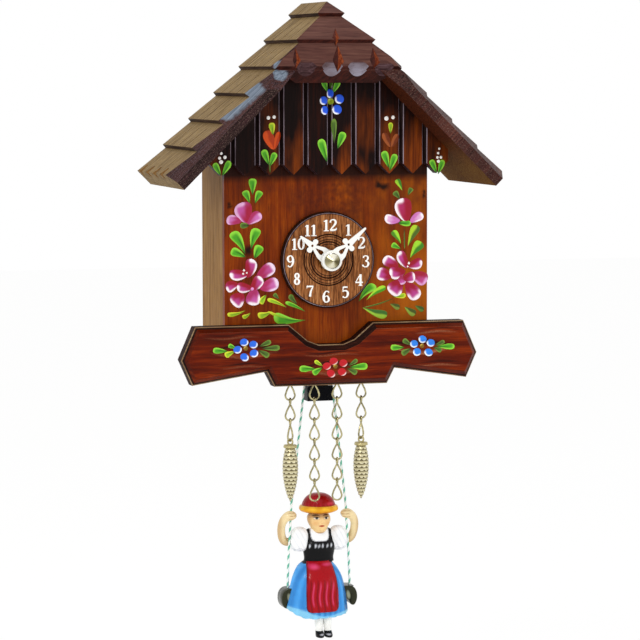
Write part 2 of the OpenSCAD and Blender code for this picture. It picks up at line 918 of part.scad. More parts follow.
module swing_rocker() {
    w = rocker_half_w;
    block_top = -51;
    color("#141416")
        from_front()
            translate([0, swing_y, 0])
                difference() {
                    union() {
                        translate([-w, -3, -57])
                            cube([2 * w, 6, block_top + 57]);
                        translate([-3.4, -2.2, block_top - eps])
                            cube([6.8, 4.4, pivot_z - block_top]);
                        translate([-cord_ear[0] - 1.4, -1.5, cord_ear[1] - 0.6])
                            cube([2 * cord_ear[0] + 2.8, 3, 1.8]);
                        translate([-6.4, 0, pivot_z])
                            rotate([0, 90, 0])
                                cylinder(r = 2.1, h = 12.8);
                        translate([-3, 0, pivot_z - 0.4])
                            cube([6, 11.5, 1.6]);
                        translate([0, 11.5, pivot_z - 0.4])
                            cylinder(r = 3.3, h = 1.6);
                    }
                    translate([-10, 0, pivot_z])
                        rotate([0, 90, 0])
                            cylinder(r = pin_r + run, h = 20);
                    for (side = [-1, 1])
                        translate([side * cord_ear[0], 0, cord_ear[1] - 2])
                            cylinder(r = cord_d / 2 + 0.1, h = 5);
                    for (side = [-1, 1])
                        translate([side * (w + 0.9), -5, block_top + 0.9])
                            rotate([0, 45, 0])
                                cube([3, 10, 3], center = true);
                }
}

module drive_magnet() {
    color("#9a9ca0")
        from_front()
            translate([0, swing_y + 11.5, pivot_z + 1.2])
                cylinder(r = 2.8, h = 1.5);
}

module drive_coil() {
    color("#b4642c")
        from_front()
            translate([0, swing_y + 11.5, floor_top_z + 1.2])
                rotate_extrude()
                    polygon([[1, 0], [3.6, 0], [3.6, 0.25], [3.2, 0.25], [3.2, 0.65], [3.6, 0.65],
                        [3.6, 0.9], [1, 0.9]]);
}

// Cord from the rocker's ear through the hand to the seat, as points in the XZ plane
cord_route = [[5.15, -44.3], [5.2, -46.5], [5.75, -51], [8.55, -75], [11.35, -99], [11.5, -103],
    [11.75, -107], [12.5, -119], [12.9, -130], [12.9, -132.4]];
cord_steps = [1, 2, 8, 8, 2, 2, 4, 4, 1];

function cord_path(side) = concat(
    [for (k = [0 : len(cord_steps) - 1], s = [0 : cord_steps[k] - 1])
        let (p = cord_route[k] + (cord_route[k + 1] - cord_route[k]) * s / cord_steps[k])
        [side * p[0], swing_y, p[1]]],
    [[side * cord_route[len(cord_route) - 1][0], swing_y, cord_route[len(cord_route) - 1][1]]]);

module cord_tube(side, r) {
    path = cord_path(side);
    tube(path, [for (p = path) r], 8);
}

module swing_cord_left() {
    color("#bfe3d2")
        from_front()
            cord_tube(-1, cord_d / 2);
}

module swing_cord_right() {
    color("#bfe3d2")
        from_front()
            cord_tube(1, cord_d / 2);
}

module seat_profile() {
    polygon([[-seat_hole_x, seat_top_z], [seat_hole_x, seat_top_z], [seat_hole_x + 2.6, -132.6],
        [seat_hole_x + 4, -135.4], [seat_hole_x + 3.9, -138.6], [seat_hole_x + 2.6, -141],
        [seat_hole_x + 1.2, -140.4], [seat_hole_x + 1.9, -138], [seat_hole_x + 1.9, -135.8],
        [seat_hole_x + 1, -134], [seat_hole_x - 0.6, -133.2], [-seat_hole_x + 0.6, -133.2],
        [-seat_hole_x - 1, -134], [-seat_hole_x - 1.9, -135.8], [-seat_hole_x - 1.9, -138],
        [-seat_hole_x - 1.2, -140.4], [-seat_hole_x - 2.6, -141], [-seat_hole_x - 3.9, -138.6],
        [-seat_hole_x - 4, -135.4], [-seat_hole_x - 2.6, -132.6]]);
}

module swing_seat() {
    color("#2c302c")
        from_front()
            difference() {
                slab(swing_y - 4, swing_y + 4)
                    seat_profile();
                for (side = [-1, 1])
                    translate([side * seat_hole_x, swing_y, -132.5])
                        cylinder(r = cord_d / 2 + 0.05, h = 4);
            }
}

// Doll
module doll_hat() {
    color("#b01818")
        from_front()
            translate([0, swing_y, 0])
                rotate_extrude($fn = 48)
                    polygon([[0, -94.2], [1.6, -94.4], [3.1, -94.95], [4.4, -96], [5.4, -97.4],
                        [6.2, -99.3], [7.5, -99.8], [7.95, -100.6], [7.6, -101.8], [6.4, -103],
                        [5, -103.2], [4.3, -102.6], [4, -102.2], [0, -102.2]]);
}

module doll_head() {
    rings = [[0.3, 1.9, 2.1, -110.6], [0, 2.7, 3.2, -110.1], [-0.3, 3.5, 3.9, -109],
        [-0.4, 4.2, 4.5, -107.4], [-0.3, 4.65, 4.9, -105.4], [0, 4.6, 4.9, -103.8],
        [0, 3.9, 3.9, -102.6], [0, 3.6, 3.6, -102.2]];
    color("#f0c49c")
        from_front()
            loft([for (r = rings) oval(0, swing_y + r[0], r[1], r[2], r[3])]);
}

module sleeve_form(side) {
    rings = [[-117.4, 1.9], [-116.6, 3], [-115, 3.6], [-112.6, 3.7], [-110, 3.3], [-108.4, 2.2],
        [-107.9, 1.2]];
    loft([for (r = rings) oval(side * 8, swing_y, r[1], r[1] * 0.95, r[0])]);
}

module sleeve(side) {
    color("#f4f4f2")
        from_front()
            difference() {
                sleeve_form(side);
                cord_tube(side, cord_d / 2 + 0.08);
            }
}

module doll_sleeve_left() {
    sleeve(-1);
}

module doll_sleeve_right() {
    sleeve(1);
}

module doll_torso() {
    rings = [[0, 5.5, 3.7, -121.8], [0, 5.5, 3.5, -120.5], [-0.2, 6.3, 3.9, -118],
        [-0.5, 6.9, 4.3, -115.5], [-0.2, 6.7, 3.6, -113.6], [0.1, 5.6, 2.8, -112.2],
        [0.2, 3.2, 2.3, -111.3], [0.3, 1.9, 2.1, -110.6]];
    color("#17171a")
        from_front()
            difference() {
                loft([for (r = rings) oval(0, swing_y + r[0], r[1], r[2], r[3])]);
                sleeve_form(-1);
                sleeve_form(1);
            }
}

module arm(side) {
    path = [[-10.4, 2.2, -113.4], [-12.8, 2.4, -114], [-14.4, 2, -112.6], [-15.2, 1.2, -109.6],
        [-15.1, 0.5, -106.6], [-14, 0.1, -104.3], [-12, 0, -103.1], [-10.4, 0, -103.4],
        [-9.6, 0, -103.8]];
    radii = [1.5, 1.6, 1.65, 1.6, 1.6, 1.75, 2, 1.7, 0.9];
    color("#ecd0a0")
        from_front()
            difference() {
                tube([for (p = path) [-side * p[0], swing_y + p[1], p[2]]], radii, 12);
                sleeve_form(side);
                cord_tube(side, cord_d / 2 + 0.08);
            }
}

module doll_arm_left() {
    arm(-1);
}

module doll_arm_right() {
    arm(1);
}

module skirt_form() {
    rings = [[-3.2, 12, 6.2, -143.8], [-3.1, 11.9, 6.4, -141.5], [-2.9, 11.2, 6.6, -136],
        [-2.5, 10.5, 6.6, -131.5], [-1.8, 9.6, 6.2, -127.5], [-0.8, 7.8, 5.2, -124],
        [0, 5.5, 3.7, -121.8]];
    loft([for (r = rings) oval(0, swing_y + r[0], r[1], r[2], r[3], 24)]);
}

module doll_skirt() {
    color("#4aa8f0")
        from_front()
            difference() {
                skirt_form();
                slab(swing_y - 4, swing_y + 20)
                    seat_profile();
                translate([-8.7, swing_y - 4, -145])
                    cube([17.4, 20, 11.8]);
            }
}

module doll_apron() {
    color("#a00010")
        from_front()
            difference() {
                intersection() {
                    translate([0, -0.55, 0])
                        skirt_form();
                    slab(swing_y - 12, swing_y - 3)
                        polygon([[-4.8, -122.4], [-6, -142.8], [6, -142.8], [4.8, -122.4]]);
                }
                skirt_form();
            }
}

module doll_legs() {
    color("#f2f2f0")
        from_front()
            for (side = [-1, 1])
                translate([side * 1.75, swing_y - 6.6, 0])
                    loft([oval(0, 0, 1.5, 1.6, -150.6, 12), oval(0, 0, 1.45, 1.5, -149.4, 12),
                        oval(0, 0.2, 1.7, 1.8, -146, 12), oval(0, 0.2, 1.7, 1.8, -143.8, 12)]);
}

module doll_shoes() {
    color("#101012")
        from_front()
            for (side = [-1, 1])
                translate([side * 1.75, swing_y - 6.6, 0])
                    loft([oval(0, -1.1, 1.5, 2.7, -153, 12), oval(0, -1.1, 1.65, 2.9, -152.2, 12),
                        oval(0, -0.6, 1.6, 2.3, -151.2, 12), oval(0, 0, 1.5, 1.6, -150.6, 12)]);
}

// Chains
module staple_sites() {
    for (x = [-chain_outer_x, -chain_inner_x, chain_inner_x, chain_outer_x], side = [-1, 1])
        translate([x + side * 1.3, chain_y, 0])
            children();
}

module chain_staples() {
    color("#c8b878")
        from_front() {
            staple_sites()
                translate([0, 0, staple_z])
                    cylinder(r = wire_r, h = staple_drop + 2, $fn = 24);
            for (x = [-chain_outer_x, -chain_inner_x, chain_inner_x, chain_outer_x])
                translate([x - 1.3, chain_y, staple_z]) {
                    rotate([0, 90, 0])
                        cylinder(r = wire_r, h = 2.6, $fn = 24);
                    sphere(r = wire_r, $fn = 24);
                    translate([2.6, 0, 0])
                        sphere(r = wire_r, $fn = 24);
                }
        }
}

// Half width and height of a link's wire, from the ring's bottom up one side to the eye's top
link_rise = concat(
    [for (a = [-90, -60, -30, 0, 32]) link_ring_r * [cos(a), 1 + sin(a)]],
    [[wire_r + 0.08, link_h - 2 * link_eye_r - 1.5], [wire_r + 0.08, link_h - 2 * link_eye_r - 0.3]],
    [for (a = [-35, 10, 50, 90]) [link_eye_r * cos(a), link_h - link_eye_r * (1 - sin(a))]]);

function link_twist(h, twist) =
    let (t = (h - (link_h - 2 * link_eye_r - 1.5)) / 1.2)
    twist * min(1, max(0, t));

function link_point(p, side, twist) =
    let (a = link_twist(p[1], twist))
    [side * p[0] * cos(a), side * p[0] * sin(a), p[1]];

function link_loop(twist) = concat(
    [for (i = [0 : len(link_rise) - 1]) link_point(link_rise[i], 1, twist)],
    [for (i = [len(link_rise) - 2 : -1 : 1]) link_point(link_rise[i], -1, twist)]);

// One link of bent wire, standing on its ring's bottom, its eye turned by the twist
module chain_link(twist) {
    sides = 6;
    path = link_loop(twist);
    n = len(path);
    rings = [for (i = [0 : n - 1])
        let (
            a = link_twist(path[i][2], twist),
            t = unit(path[(i + 1) % n] - path[(i + n - 1) % n])
        )
        tube_ring(path[i], t, [-sin(a), cos(a), 0], wire_r, sides)];
    polyhedron(
        points = [for (r = rings, p = r) p],
        faces = [for (j = [0 : n - 1], i = [0 : sides - 1])
            let (
                k = (j + 1) % n,
                a = j * sides + i,
                b = j * sides + (i + 1) % sides,
                c = k * sides + i,
                d = k * sides + (i + 1) % sides
            )
            each [[a, c, d], [a, d, b]]]);
}

// Chain of twisted links, the last one turned halfway where it carries a weight
module chain(x, links, weighted) {
    color("#c8b878")
        from_front()
            for (i = [1 : links])
                translate([x, chain_y, staple_z - i * link_pitch])
                    if (weighted && i == links)
                        rotate([0, 0, flat_link_a])
                            chain_link(90 - flat_link_a);
                    else
                        chain_link(90);
}

module chain_outer_left() {
    chain(-chain_outer_x, 3, true);
}

module chain_inner_left() {
    chain(-chain_inner_x, inner_links, false);
}

module chain_inner_right() {
    chain(chain_inner_x, inner_links, false);
}

module chain_outer_right() {
    chain(chain_outer_x, 3, true);
}

// Cone weight: eye, collar and a body ringed by rows of scales
module cone_weight(x) {
    rows = 13;
    top = collar_z - 1.3;
    function girth(t) = cone_r * pow(sin(180 * pow(0.12 + 0.88 * t, 0.85)), 0.62);
    outline = [for (i = [0 : rows - 1], p = [0, 1])
        let (t = (i + p * 0.72) / rows)
        [max(0.35, girth(t) - 0.28 * (1 - p)), top - cone_l * t]];
    color("#b8a468")
        from_front()
            translate([x, chain_y, 0]) {
                rotate_extrude($fn = 40)
                    polygon(concat([[0, top]], outline, [[0, top - cone_l]]));
                translate([0, 0, top])
                    rotate_extrude($fn = 40)
                        polygon([[0, 0], [2.5, 0], [2.75, 0.35], [2.75, 1.0], [2.4, 1.3], [0, 1.3]]);
                translate([0, 0, cone_eye_z])
                    rotate([90, 0, flat_link_a - 90])
                        rotate_extrude($fn = 32)
                            translate([cone_eye_r, 0])
                                circle(r = wire_r, $fn = 16);
            }
}

module cone_weight_left() {
    cone_weight(-chain_outer_x);
}

module cone_weight_right() {
    cone_weight(chain_outer_x);
}

front_panel();
side_wall_left();
side_wall_right();
floor_board();
back_panel();
gable_board();
roof_left();
roof_right();
roof_hip();
base_board();
dial();
bush_nut();
hour_hand();
minute_hand();
hand_nut();
movement_case();
movement_cover();
step_coil();
circuit_board();
battery();
battery_contacts();
minute_arbor();
hour_wheel();
setting_wheel();
setting_knob();
swing_frame();
frame_screws();
swing_pin();
swing_rocker();
drive_magnet();
drive_coil();
swing_cord_left();
swing_cord_right();
swing_seat();
doll_hat();
doll_head();
doll_torso();
doll_sleeve_left();
doll_sleeve_right();
doll_arm_left();
doll_arm_right();
doll_skirt();
doll_apron();
doll_legs();
doll_shoes();
chain_staples();
chain_outer_left();
chain_inner_left();
chain_inner_right();
chain_outer_right();
cone_weight_left();
cone_weight_right();
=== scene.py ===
"""Looks of the miniature chalet wall clock: camera, light, materials and the detailed pieces.

Lengths in the front frame are in millimetres, with the origin at the dial centre on the front
panel's face, as in part.scad. to_row() turns them into the row frame, in metres.
"""

import functools
import json
import math
import random

import bmesh
import bpy
from mathutils import Matrix, Vector

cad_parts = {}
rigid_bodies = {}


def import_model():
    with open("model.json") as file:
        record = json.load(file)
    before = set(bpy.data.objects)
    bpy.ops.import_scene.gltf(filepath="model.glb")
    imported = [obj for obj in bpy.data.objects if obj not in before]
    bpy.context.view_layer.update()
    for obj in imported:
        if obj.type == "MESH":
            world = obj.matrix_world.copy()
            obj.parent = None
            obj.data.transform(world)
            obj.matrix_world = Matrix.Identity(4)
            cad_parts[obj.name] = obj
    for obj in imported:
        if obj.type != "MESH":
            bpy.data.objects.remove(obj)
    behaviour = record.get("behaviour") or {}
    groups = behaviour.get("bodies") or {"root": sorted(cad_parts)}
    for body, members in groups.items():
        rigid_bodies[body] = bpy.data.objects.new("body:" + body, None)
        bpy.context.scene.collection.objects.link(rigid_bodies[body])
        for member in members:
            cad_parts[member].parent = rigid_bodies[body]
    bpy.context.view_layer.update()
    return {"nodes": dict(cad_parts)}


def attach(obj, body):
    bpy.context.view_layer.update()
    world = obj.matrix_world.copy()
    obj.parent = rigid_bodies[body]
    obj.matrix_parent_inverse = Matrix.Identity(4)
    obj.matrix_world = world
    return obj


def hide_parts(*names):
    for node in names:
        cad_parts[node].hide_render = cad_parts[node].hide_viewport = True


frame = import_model()
nodes = frame["nodes"]
rnd = random.Random(7)

HOUSE_D, HANG_RISE, MM = 36.0, 68.0, 0.001
GABLE_T, BOARD_T, DIAL_T = 4.6, 8.0, 2.8
SLAT_W, SLOPE = 9.74, 44.7


def to_row(x, y, z):
    """A point of the front frame, in the row frame."""
    return Vector((x, y - HOUSE_D, z - HANG_RISE)) * MM


def to_front(p):
    """A point of the row frame, in the front frame."""
    return p * 1000 + Vector((0, HOUSE_D, HANG_RISE))


@functools.lru_cache(None)
def lin(h):
    """Linear colour of a hex word."""
    v = [int(h[i : i + 2], 16) / 255 for i in (1, 3, 5)]
    return tuple(c / 12.92 if c <= 0.04045 else ((c + 0.055) / 1.055) ** 2.4 for c in v)


def rgb(c):
    """A colour from its hex word, or as it is."""
    return lin(c) if isinstance(c, str) else c


def mix(a, b, t):
    """Colour a made b as t goes from 0 to 1."""
    t = min(1.0, max(0.0, t))
    return tuple(p + (q - p) * t for p, q in zip(rgb(a), rgb(b)))


def smooth(a, b, x):
    """0 at a, 1 at b, with soft ends."""
    t = min(1.0, max(0.0, (x - a) / (b - a)))
    return t * t * (3 - 2 * t)


def cos_sin(degrees):
    a = math.radians(degrees)
    return math.cos(a), math.sin(a)


def circle(n):
    """Angles of n points round a circle."""
    return [2 * math.pi * k / n for k in range(n)]


# Camera at the photograph's viewing angle
YAW, PITCH, ROLL = math.radians(16.05), math.radians(5.02), math.radians(-0.11)
FOCAL_PX, FRAME_PX, SENSOR = 2851.6, 640, 36
HALF = FRAME_PX / 2
cam_mm = Vector((-312.06, -1074.98, 74.46))
fwd = Vector((math.sin(YAW) * math.cos(PITCH), math.cos(YAW) * math.cos(PITCH), -math.sin(PITCH)))
level = Vector((math.cos(YAW), -math.sin(YAW), 0))
upright = level.cross(fwd)
right = math.cos(ROLL) * level + math.sin(ROLL) * upright
up = -math.sin(ROLL) * level + math.cos(ROLL) * upright


def ray_to(px, py):
    return fwd + right * ((px - HALF) / FOCAL_PX) - up * ((py - HALF) / FOCAL_PX)


def on_face(px, py, y):
    """x and z in the front frame where a photograph's pixel meets the plane y."""
    ray = ray_to(px, py)
    p = cam_mm + ray * ((y - cam_mm.y) / ray.y)
    return p.x, p.z


def on_faces(pixels, y=0):
    return [on_face(px, py, y) for px, py in pixels]


def camera():
    data = bpy.data.cameras.new("camera")
    data.sensor_width = SENSOR
    data.lens = FOCAL_PX / FRAME_PX * SENSOR
    data.clip_start, data.clip_end = 0.05, 20
    ob = bpy.data.objects.new("camera", data)
    bpy.context.scene.collection.objects.link(ob)
    ob.matrix_world = Matrix([(right[i], up[i], -fwd[i], 0) for i in range(3)] + [(0, 0, 0, 1)])
    ob.location = to_row(*cam_mm)
    bpy.context.scene.camera = ob


camera()


# Node trees
class Tree:
    """A shader's node tree, with short words for the nodes that the materials use."""

    def __init__(self, tree):
        self.t = tree

    def n(self, kind, ins=None, **props):
        node = self.t.nodes.new(kind)
        for k, v in props.items():
            setattr(node, k, v)
        for k, v in (ins or {}).items():
            self.put(node.inputs[k], v)
        return node

    def put(self, socket, v):
        if isinstance(v, bpy.types.NodeSocket):
            self.t.links.new(v, socket)
        elif socket.type == "RGBA" and isinstance(v, (str, tuple)):
            socket.default_value = (*rgb(v), 1)
        else:
            socket.default_value = v

    def math(self, op, a, b=0.0):
        return self.n("ShaderNodeMath", {0: a, 1: b}, operation=op).outputs[0]

    def mul(self, value, *others):
        for v in others:
            value = self.math("MULTIPLY", value, v)
        return value

    def add(self, a, b):
        return self.math("ADD", a, b)

    def sub(self, a, b):
        return self.math("SUBTRACT", a, b)

    def vec(self, op, a, b, out=0):
        return self.n("ShaderNodeVectorMath", {0: a, 1: b}, operation=op).outputs[out]

    def span(self, v, a, b, lo=0.0, hi=1.0):
        """v from a to b made lo to hi, and held at both ends."""
        return self.n("ShaderNodeMapRange", {0: v, 1: a, 2: b, 3: lo, 4: hi}).outputs[0]

    def mixc(self, fac, a, b, mode="MIX"):
        return self.n("ShaderNodeMix", data_type="RGBA", blend_type=mode, ins={0: fac, 6: a, 7: b}).outputs[2]

    def ramp(self, fac, stops):
        node = self.n("ShaderNodeValToRGB", {0: fac})
        el = node.color_ramp.elements
        while len(el) < len(stops):
            el.new(0.5)
        for e, (pos, col) in zip(el, stops):
            e.position = pos
            e.color = (*rgb(col), 1)
        return node.outputs[0]

    def noise(self, vec, scale, detail=3.0, rough=0.5):
        ins = {"Vector": vec, "Scale": scale, "Detail": detail, "Roughness": rough}
        return self.n("ShaderNodeTexNoise", ins).outputs[0]

    def mapped(self, vec, scale=(1, 1, 1), rot=(0, 0, 0)):
        ins = {"Vector": vec, "Scale": scale, "Rotation": tuple(math.radians(a) for a in rot)}
        return self.n("ShaderNodeMapping", ins).outputs[0]

    def coords(self):
        return self.n("ShaderNodeTexCoord").outputs["Object"]

    def xyz(self, vec):
        return self.n("ShaderNodeSeparateXYZ", {0: vec}).outputs


MATERIALS = {}


def new_mat(name):
    """A material kept under its name, with its tree and its shader."""
    m = MATERIALS[name] = bpy.data.materials.new(name)
    m.use_nodes = True
    t = Tree(m.node_tree)
    t.t.nodes.clear()
    out = t.n("ShaderNodeOutputMaterial")
    bsdf = t.n("ShaderNodeBsdfPrincipled")
    t.t.links.new(bsdf.outputs[0], out.inputs[0])
    return t, bsdf


def surf(t, bsdf, colour, rough, bump, dist, metallic=0.0, coat=0.0, coat_rough=0.1, strength=1.0, spec=0.06):
    t.put(bsdf.inputs["Base Color"], colour)
    t.put(bsdf.inputs["Roughness"], rough)
    bsdf.inputs["Metallic"].default_value = metallic
    bsdf.inputs["Coat Weight"].default_value = coat
    bsdf.inputs["Coat Roughness"].default_value = coat_rough
    bsdf.inputs["Specular IOR Level"].default_value = spec
    if bump is not None:
        ins = {"Height": bump, "Distance": dist, "Strength": strength}
        t.put(bsdf.inputs["Normal"], t.n("ShaderNodeBump", ins).outputs[0])


# Woods
def grain_group():
    """Streaks along local X, soft patches and pores, all 0 to 1; the vector is in metres."""
    g = bpy.data.node_groups.new("wood_grain", "ShaderNodeTree")
    g.interface.new_socket("Vector", in_out="INPUT", socket_type="NodeSocketVector")
    g.interface.new_socket("Fine", in_out="INPUT", socket_type="NodeSocketFloat")
    for s in ("Streaks", "Patches", "Pores"):
        g.interface.new_socket(s, in_out="OUTPUT", socket_type="NodeSocketFloat")
    t = Tree(g)
    vec, fine = t.n("NodeGroupInput").outputs[:2]
    warp = t.noise(t.mapped(vec, (20, 60, 60)), 1.0, 2)
    bent = t.vec("ADD", vec, t.vec("MULTIPLY", warp, (0.0, 0.0012, 0.0012)))
    streak = t.noise(t.mapped(bent, (0.05, 1, 1)), fine, 5, 0.65)
    patch = t.noise(t.mapped(vec, (0.35, 1, 1)), 75.0, 3, 0.55)
    pore = t.noise(t.mapped(vec, (0.04, 1, 1)), 4200.0, 1, 0.5)
    out = t.n("NodeGroupOutput")
    for k, (value, a, b) in enumerate(((streak, 0.3, 0.7), (patch, 0.3, 0.7), (pore, 0.55, 0.75))):
        t.put(out.inputs[k], t.span(value, a, b))
    return g


GRAIN = grain_group()


def wood(name, tones, rot, fine=900.0, rough=0.45, coat=0.0, coat_rough=0.15, bump=0.5, patch=0.5, over=None):
    """Stained wood in three tones, dark to light; rot turns the grain, over adds what is its own."""
    dark, mid, light = tones.split()
    t, b = new_mat(name)
    co = t.coords()
    g = t.n("ShaderNodeGroup", node_tree=GRAIN)
    t.put(g.inputs[0], t.mapped(co, rot=rot))
    g.inputs[1].default_value = fine
    streaks, patches, pores = g.outputs[:3]
    f = t.add(t.mul(streaks, 1 - patch), t.mul(patches, patch))
    col = t.ramp(f, [(0.1, dark), (0.5, mid), (0.9, light)])
    col = t.mixc(t.mul(pores, 0.55), col, tuple(c * 0.4 for c in lin(dark)))
    if over:
        col = over(t, co, col, g)
    r = t.span(streaks, 0.0, 1.0, rough + 0.08, rough - 0.08)
    surf(t, b, col, r, t.sub(streaks, pores), 0.00006, coat=coat, coat_rough=coat_rough, strength=bump)


def blob_mask(t, co, centres, r_in, r_out):
    """1 near any of the points (x, z in the front frame, millimetres), 0 away, with a wavy edge."""
    wave = 0.002
    s = t.xyz(co)
    flat = t.n("ShaderNodeCombineXYZ", {0: s[0], 2: s[2]}).outputs[0]
    flat = t.vec("ADD", flat, t.vec("MULTIPLY", t.noise(co, 260.0, 3), (2 * wave, 0, 2 * wave)))
    total = None
    for x, z in centres:
        p = to_row(x, 0, z)
        d = t.vec("DISTANCE", flat, (p.x + wave, 0, p.z + wave), out="Value")
        k = t.span(d, r_in * MM, r_out * MM, 1.0, 0.0)
        total = k if total is None else t.math("MAXIMUM", total, k)
    return total


# Places in the row frame that the woods change between
PANEL_WARM_X, PANEL_FIGURE_Z, PANEL_SHADE_Z = (0.004, 0.034), (-0.062, -0.046), (-0.0378, -0.0346)
SLAT_FOOT_Z, GOUGED_X, EAVE_SHADE_X = (-0.004, -0.036), (0.0, -0.004), (0.056, 0.044)
BOARD_LIT_X, CELL_END_X, SLATS = (0.018, 0.034), 0.012, 10
DARK_PATCHES = on_faces([(310, 196), (322, 204), (336, 192), (350, 186), (346, 204)])
KNOTS = on_faces([(383, 187), (380, 184), (248, 251)])
NICKS = on_faces([(423.4, 193), (423.4, 196), (230.2, 203), (230.2, 206)])


def panel_over(t, co, col, g):
    """Warmer to the right, mottled above, with knots, nicks and painted shadow under the gable's slat tips on
    top.
    """
    s = t.xyz(co)
    warm = t.mul(t.span(s[0], *PANEL_WARM_X), t.span(g.outputs[1], 0.1, 0.8))
    col = t.mixc(t.mul(warm, 0.8), col, "#a45808")
    figure = t.span(t.noise(t.mapped(co, (1, 1, 0.7), (0, 35, 0)), 190.0, 5), 0.42, 0.62)
    col = t.mixc(t.mul(figure, t.span(s[2], *PANEL_FIGURE_Z), 0.55), col, "#58200a")
    mottle = t.span(t.noise(co, 420.0, 5), 0.3, 0.62)
    col = t.mixc(t.mul(blob_mask(t, co, DARK_PATCHES, 3.0, 13.0), t.mul(mottle, 0.6)), col, "#40140a")
    knot_and_gleam = t.mul(blob_mask(t, co, KNOTS, 0.8, 2.8), 0.95)
    nick = t.mul(blob_mask(t, co, NICKS, 0.3, 1.2), 0.8)
    col = t.mixc(t.math("MAXIMUM", knot_and_gleam, nick), col, "#140806")
    # painted shadow in the gaps under the gable's slat tips
    return t.mixc(t.mul(t.span(s[2], *PANEL_SHADE_Z), 0.9), col, "#160604")


def slat_over(t, co, col, g):
    """Each slat has its own tint, redder towards its foot."""
    s = t.xyz(co)
    number = t.math("FLOOR", t.math("DIVIDE", t.add(s[0], SLATS / 2 * SLAT_W * MM), SLAT_W * MM))
    tint = t.n("ShaderNodeTexWhiteNoise", {"W": number}, noise_dimensions="1D").outputs["Value"]
    low = t.span(s[2], *SLAT_FOOT_Z)
    f = t.span(t.mul(t.add(t.mul(tint, 0.6), t.mul(low, 0.9)), g.outputs[1]), 0.3, 0.85)
    return t.mixc(f, col, t.mixc(g.outputs[0], "#441404", "#8c4008"))


def groove_gleam_over(t, co, col, g):
    """Pale lines where a groove's sides meet the slats, a painted highlight along the edges."""
    u = t.math("FRACT", t.add(t.math("DIVIDE", t.xyz(co)[0], SLAT_W * MM), SLATS + 0.5))
    d = t.mul(t.math("ABSOLUTE", t.sub(u, 0.5)), SLAT_W)
    return t.mixc(t.mul(t.span(d, 0.74, 0.9), t.span(g.outputs[0], 0.2, 0.6, 0.3, 0.95)), col, "#9c8c98")


SHINGLE_W, GROOVE_Y = 12.3, 10.5
BEVEL_Y, HIP_Y, HIP_EDGE = -19, -17.5, (335, 61.5)
GOUGES = on_faces([(283, 66), (281, 73), (256, 88), (250, 93), (245, 98)], BEVEL_Y)
GOUGES += on_faces([(240, 102), (235, 107), (229, 112)], BEVEL_Y)


def speckle_and_gleam_over(t, co, col, g):
    """Lilac specks, and a blue-grey painted reflection in the gouges high on the left."""
    fleck = t.span(t.noise(co, 3200.0, 2), 0.54, 0.7)
    col = t.mixc(t.mul(fleck, 0.5), col, "#7c6a78")
    left = t.span(t.xyz(co)[0], *GOUGED_X)
    # painted reflection: the gouges high on the left are coloured blue-grey
    gouge = t.mul(blob_mask(t, co, GOUGES, 2.2, 3.2), left, 0.9)
    return t.mixc(gouge, col, t.mixc(g.outputs[0], "#44505c", "#8490a0"))


def facet_over(t, co, col, g):
    """The gouges show their painted highlight only below the hip's lower edge, and a dark wood colour above
    it.
    """
    edge = to_row(0, 0, on_face(*HIP_EDGE, HIP_Y)[1]).z
    wavy = t.add(t.xyz(co)[2], t.mul(g.outputs[1], 0.0012))
    return t.mixc(t.span(wavy, edge, edge + 0.0006), col, t.mixc(g.outputs[0], "#3c2220", "#5c3c36"))


def shingle_over(t, co, col, g):
    """Dark lines down the shingles, along the grooves and twice between them."""
    back = t.sub(t.xyz(co)[1], to_row(0, GROOVE_Y, 0).y)
    across = t.add(t.math("DIVIDE", back, SHINGLE_W * MM), 10.0)
    broken = t.span(g.outputs[1], 0.15, 0.5, 0.35, 1.0)
    for parts, half, amount in ((1.0, 0.026, 0.7), (3.0, 0.03, 0.4)):
        u = t.math("FRACT", t.add(t.mul(across, parts), 0.5))
        line = t.span(t.math("ABSOLUTE", t.sub(u, 0.5)), half * parts, half * parts * 0.4)
        col = t.mixc(t.mul(line, broken, amount), col, "#2c1c0c")
    return col


def eave_over(t, co, col, g):
    """Painted shade high under the roof, darker and redder, and tan at its foot."""
    high = t.span(t.math("ABSOLUTE", t.xyz(co)[0]), *EAVE_SHADE_X)
    return t.mixc(high, col, t.mixc(g.outputs[0], "#1c0a06", "#5c2810"))


def brow_over(t, co, col, g):
    """Pale specks on the roof's front edge."""
    return t.mixc(t.mul(t.span(t.noise(co, 3000.0, 2), 0.55, 0.7), 0.45), col, "#8c7468")


def board_over(t, co, col, g):
    """Dark bands along the board, and its carving lit from above and dark below."""
    band = t.span(t.noise(t.mapped(co, (0.12, 1, 1)), 160.0, 2), 0.5, 0.62)
    col = t.mixc(t.mul(band, 0.35), col, "#2c0802")
    tilt = t.xyz(t.n("ShaderNodeNewGeometry").outputs["Normal"])[2]
    flat = t.span(t.math("ABSOLUTE", tilt), 0.5, 0.6, 1.0, 0.0)
    lit = t.mul(t.span(tilt, 0.14, 0.42), flat, t.span(t.xyz(co)[0], *BOARD_LIT_X, 0.45, 1.0))
    lit = t.mul(lit, t.span(t.noise(co, 2600.0, 2), 0.35, 0.6, 0.25, 0.8))
    col = t.mixc(lit, col, "#a06848")
    return t.mixc(t.mul(t.span(tilt, -0.1, -0.4, hi=0.8), flat), col, "#1c0402")


def dial_over(t, co, col, g):
    """Short dark pores standing upright in the dial's wood."""
    pore = t.span(t.noise(t.mapped(co, (1, 1, 0.14)), 2400.0, 2), 0.5, 0.6)
    return t.mixc(t.mul(pore, 0.55), col, "#34180a")


UP, ALONG, DOWN_SLOPE = (0, 90, 0), (0, 0, 0), (0, 45, 0)
VARNISH = dict(coat=0.03, coat_rough=0.2)
SPECKLED = dict(rough=0.4, coat=0.03, coat_rough=0.3, bump=1.0, patch=0.25)
WORN = dict(SPECKLED, rough=0.45, patch=0.4)
SHINGLE = dict(bump=0.6, patch=0.2, over=shingle_over)
BOARD = dict(fine=500, rough=0.25, coat=0.04, coat_rough=0.1, bump=0.3, patch=0.3)
FACET = dict(rough=0.35, bump=0.5, over=facet_over)

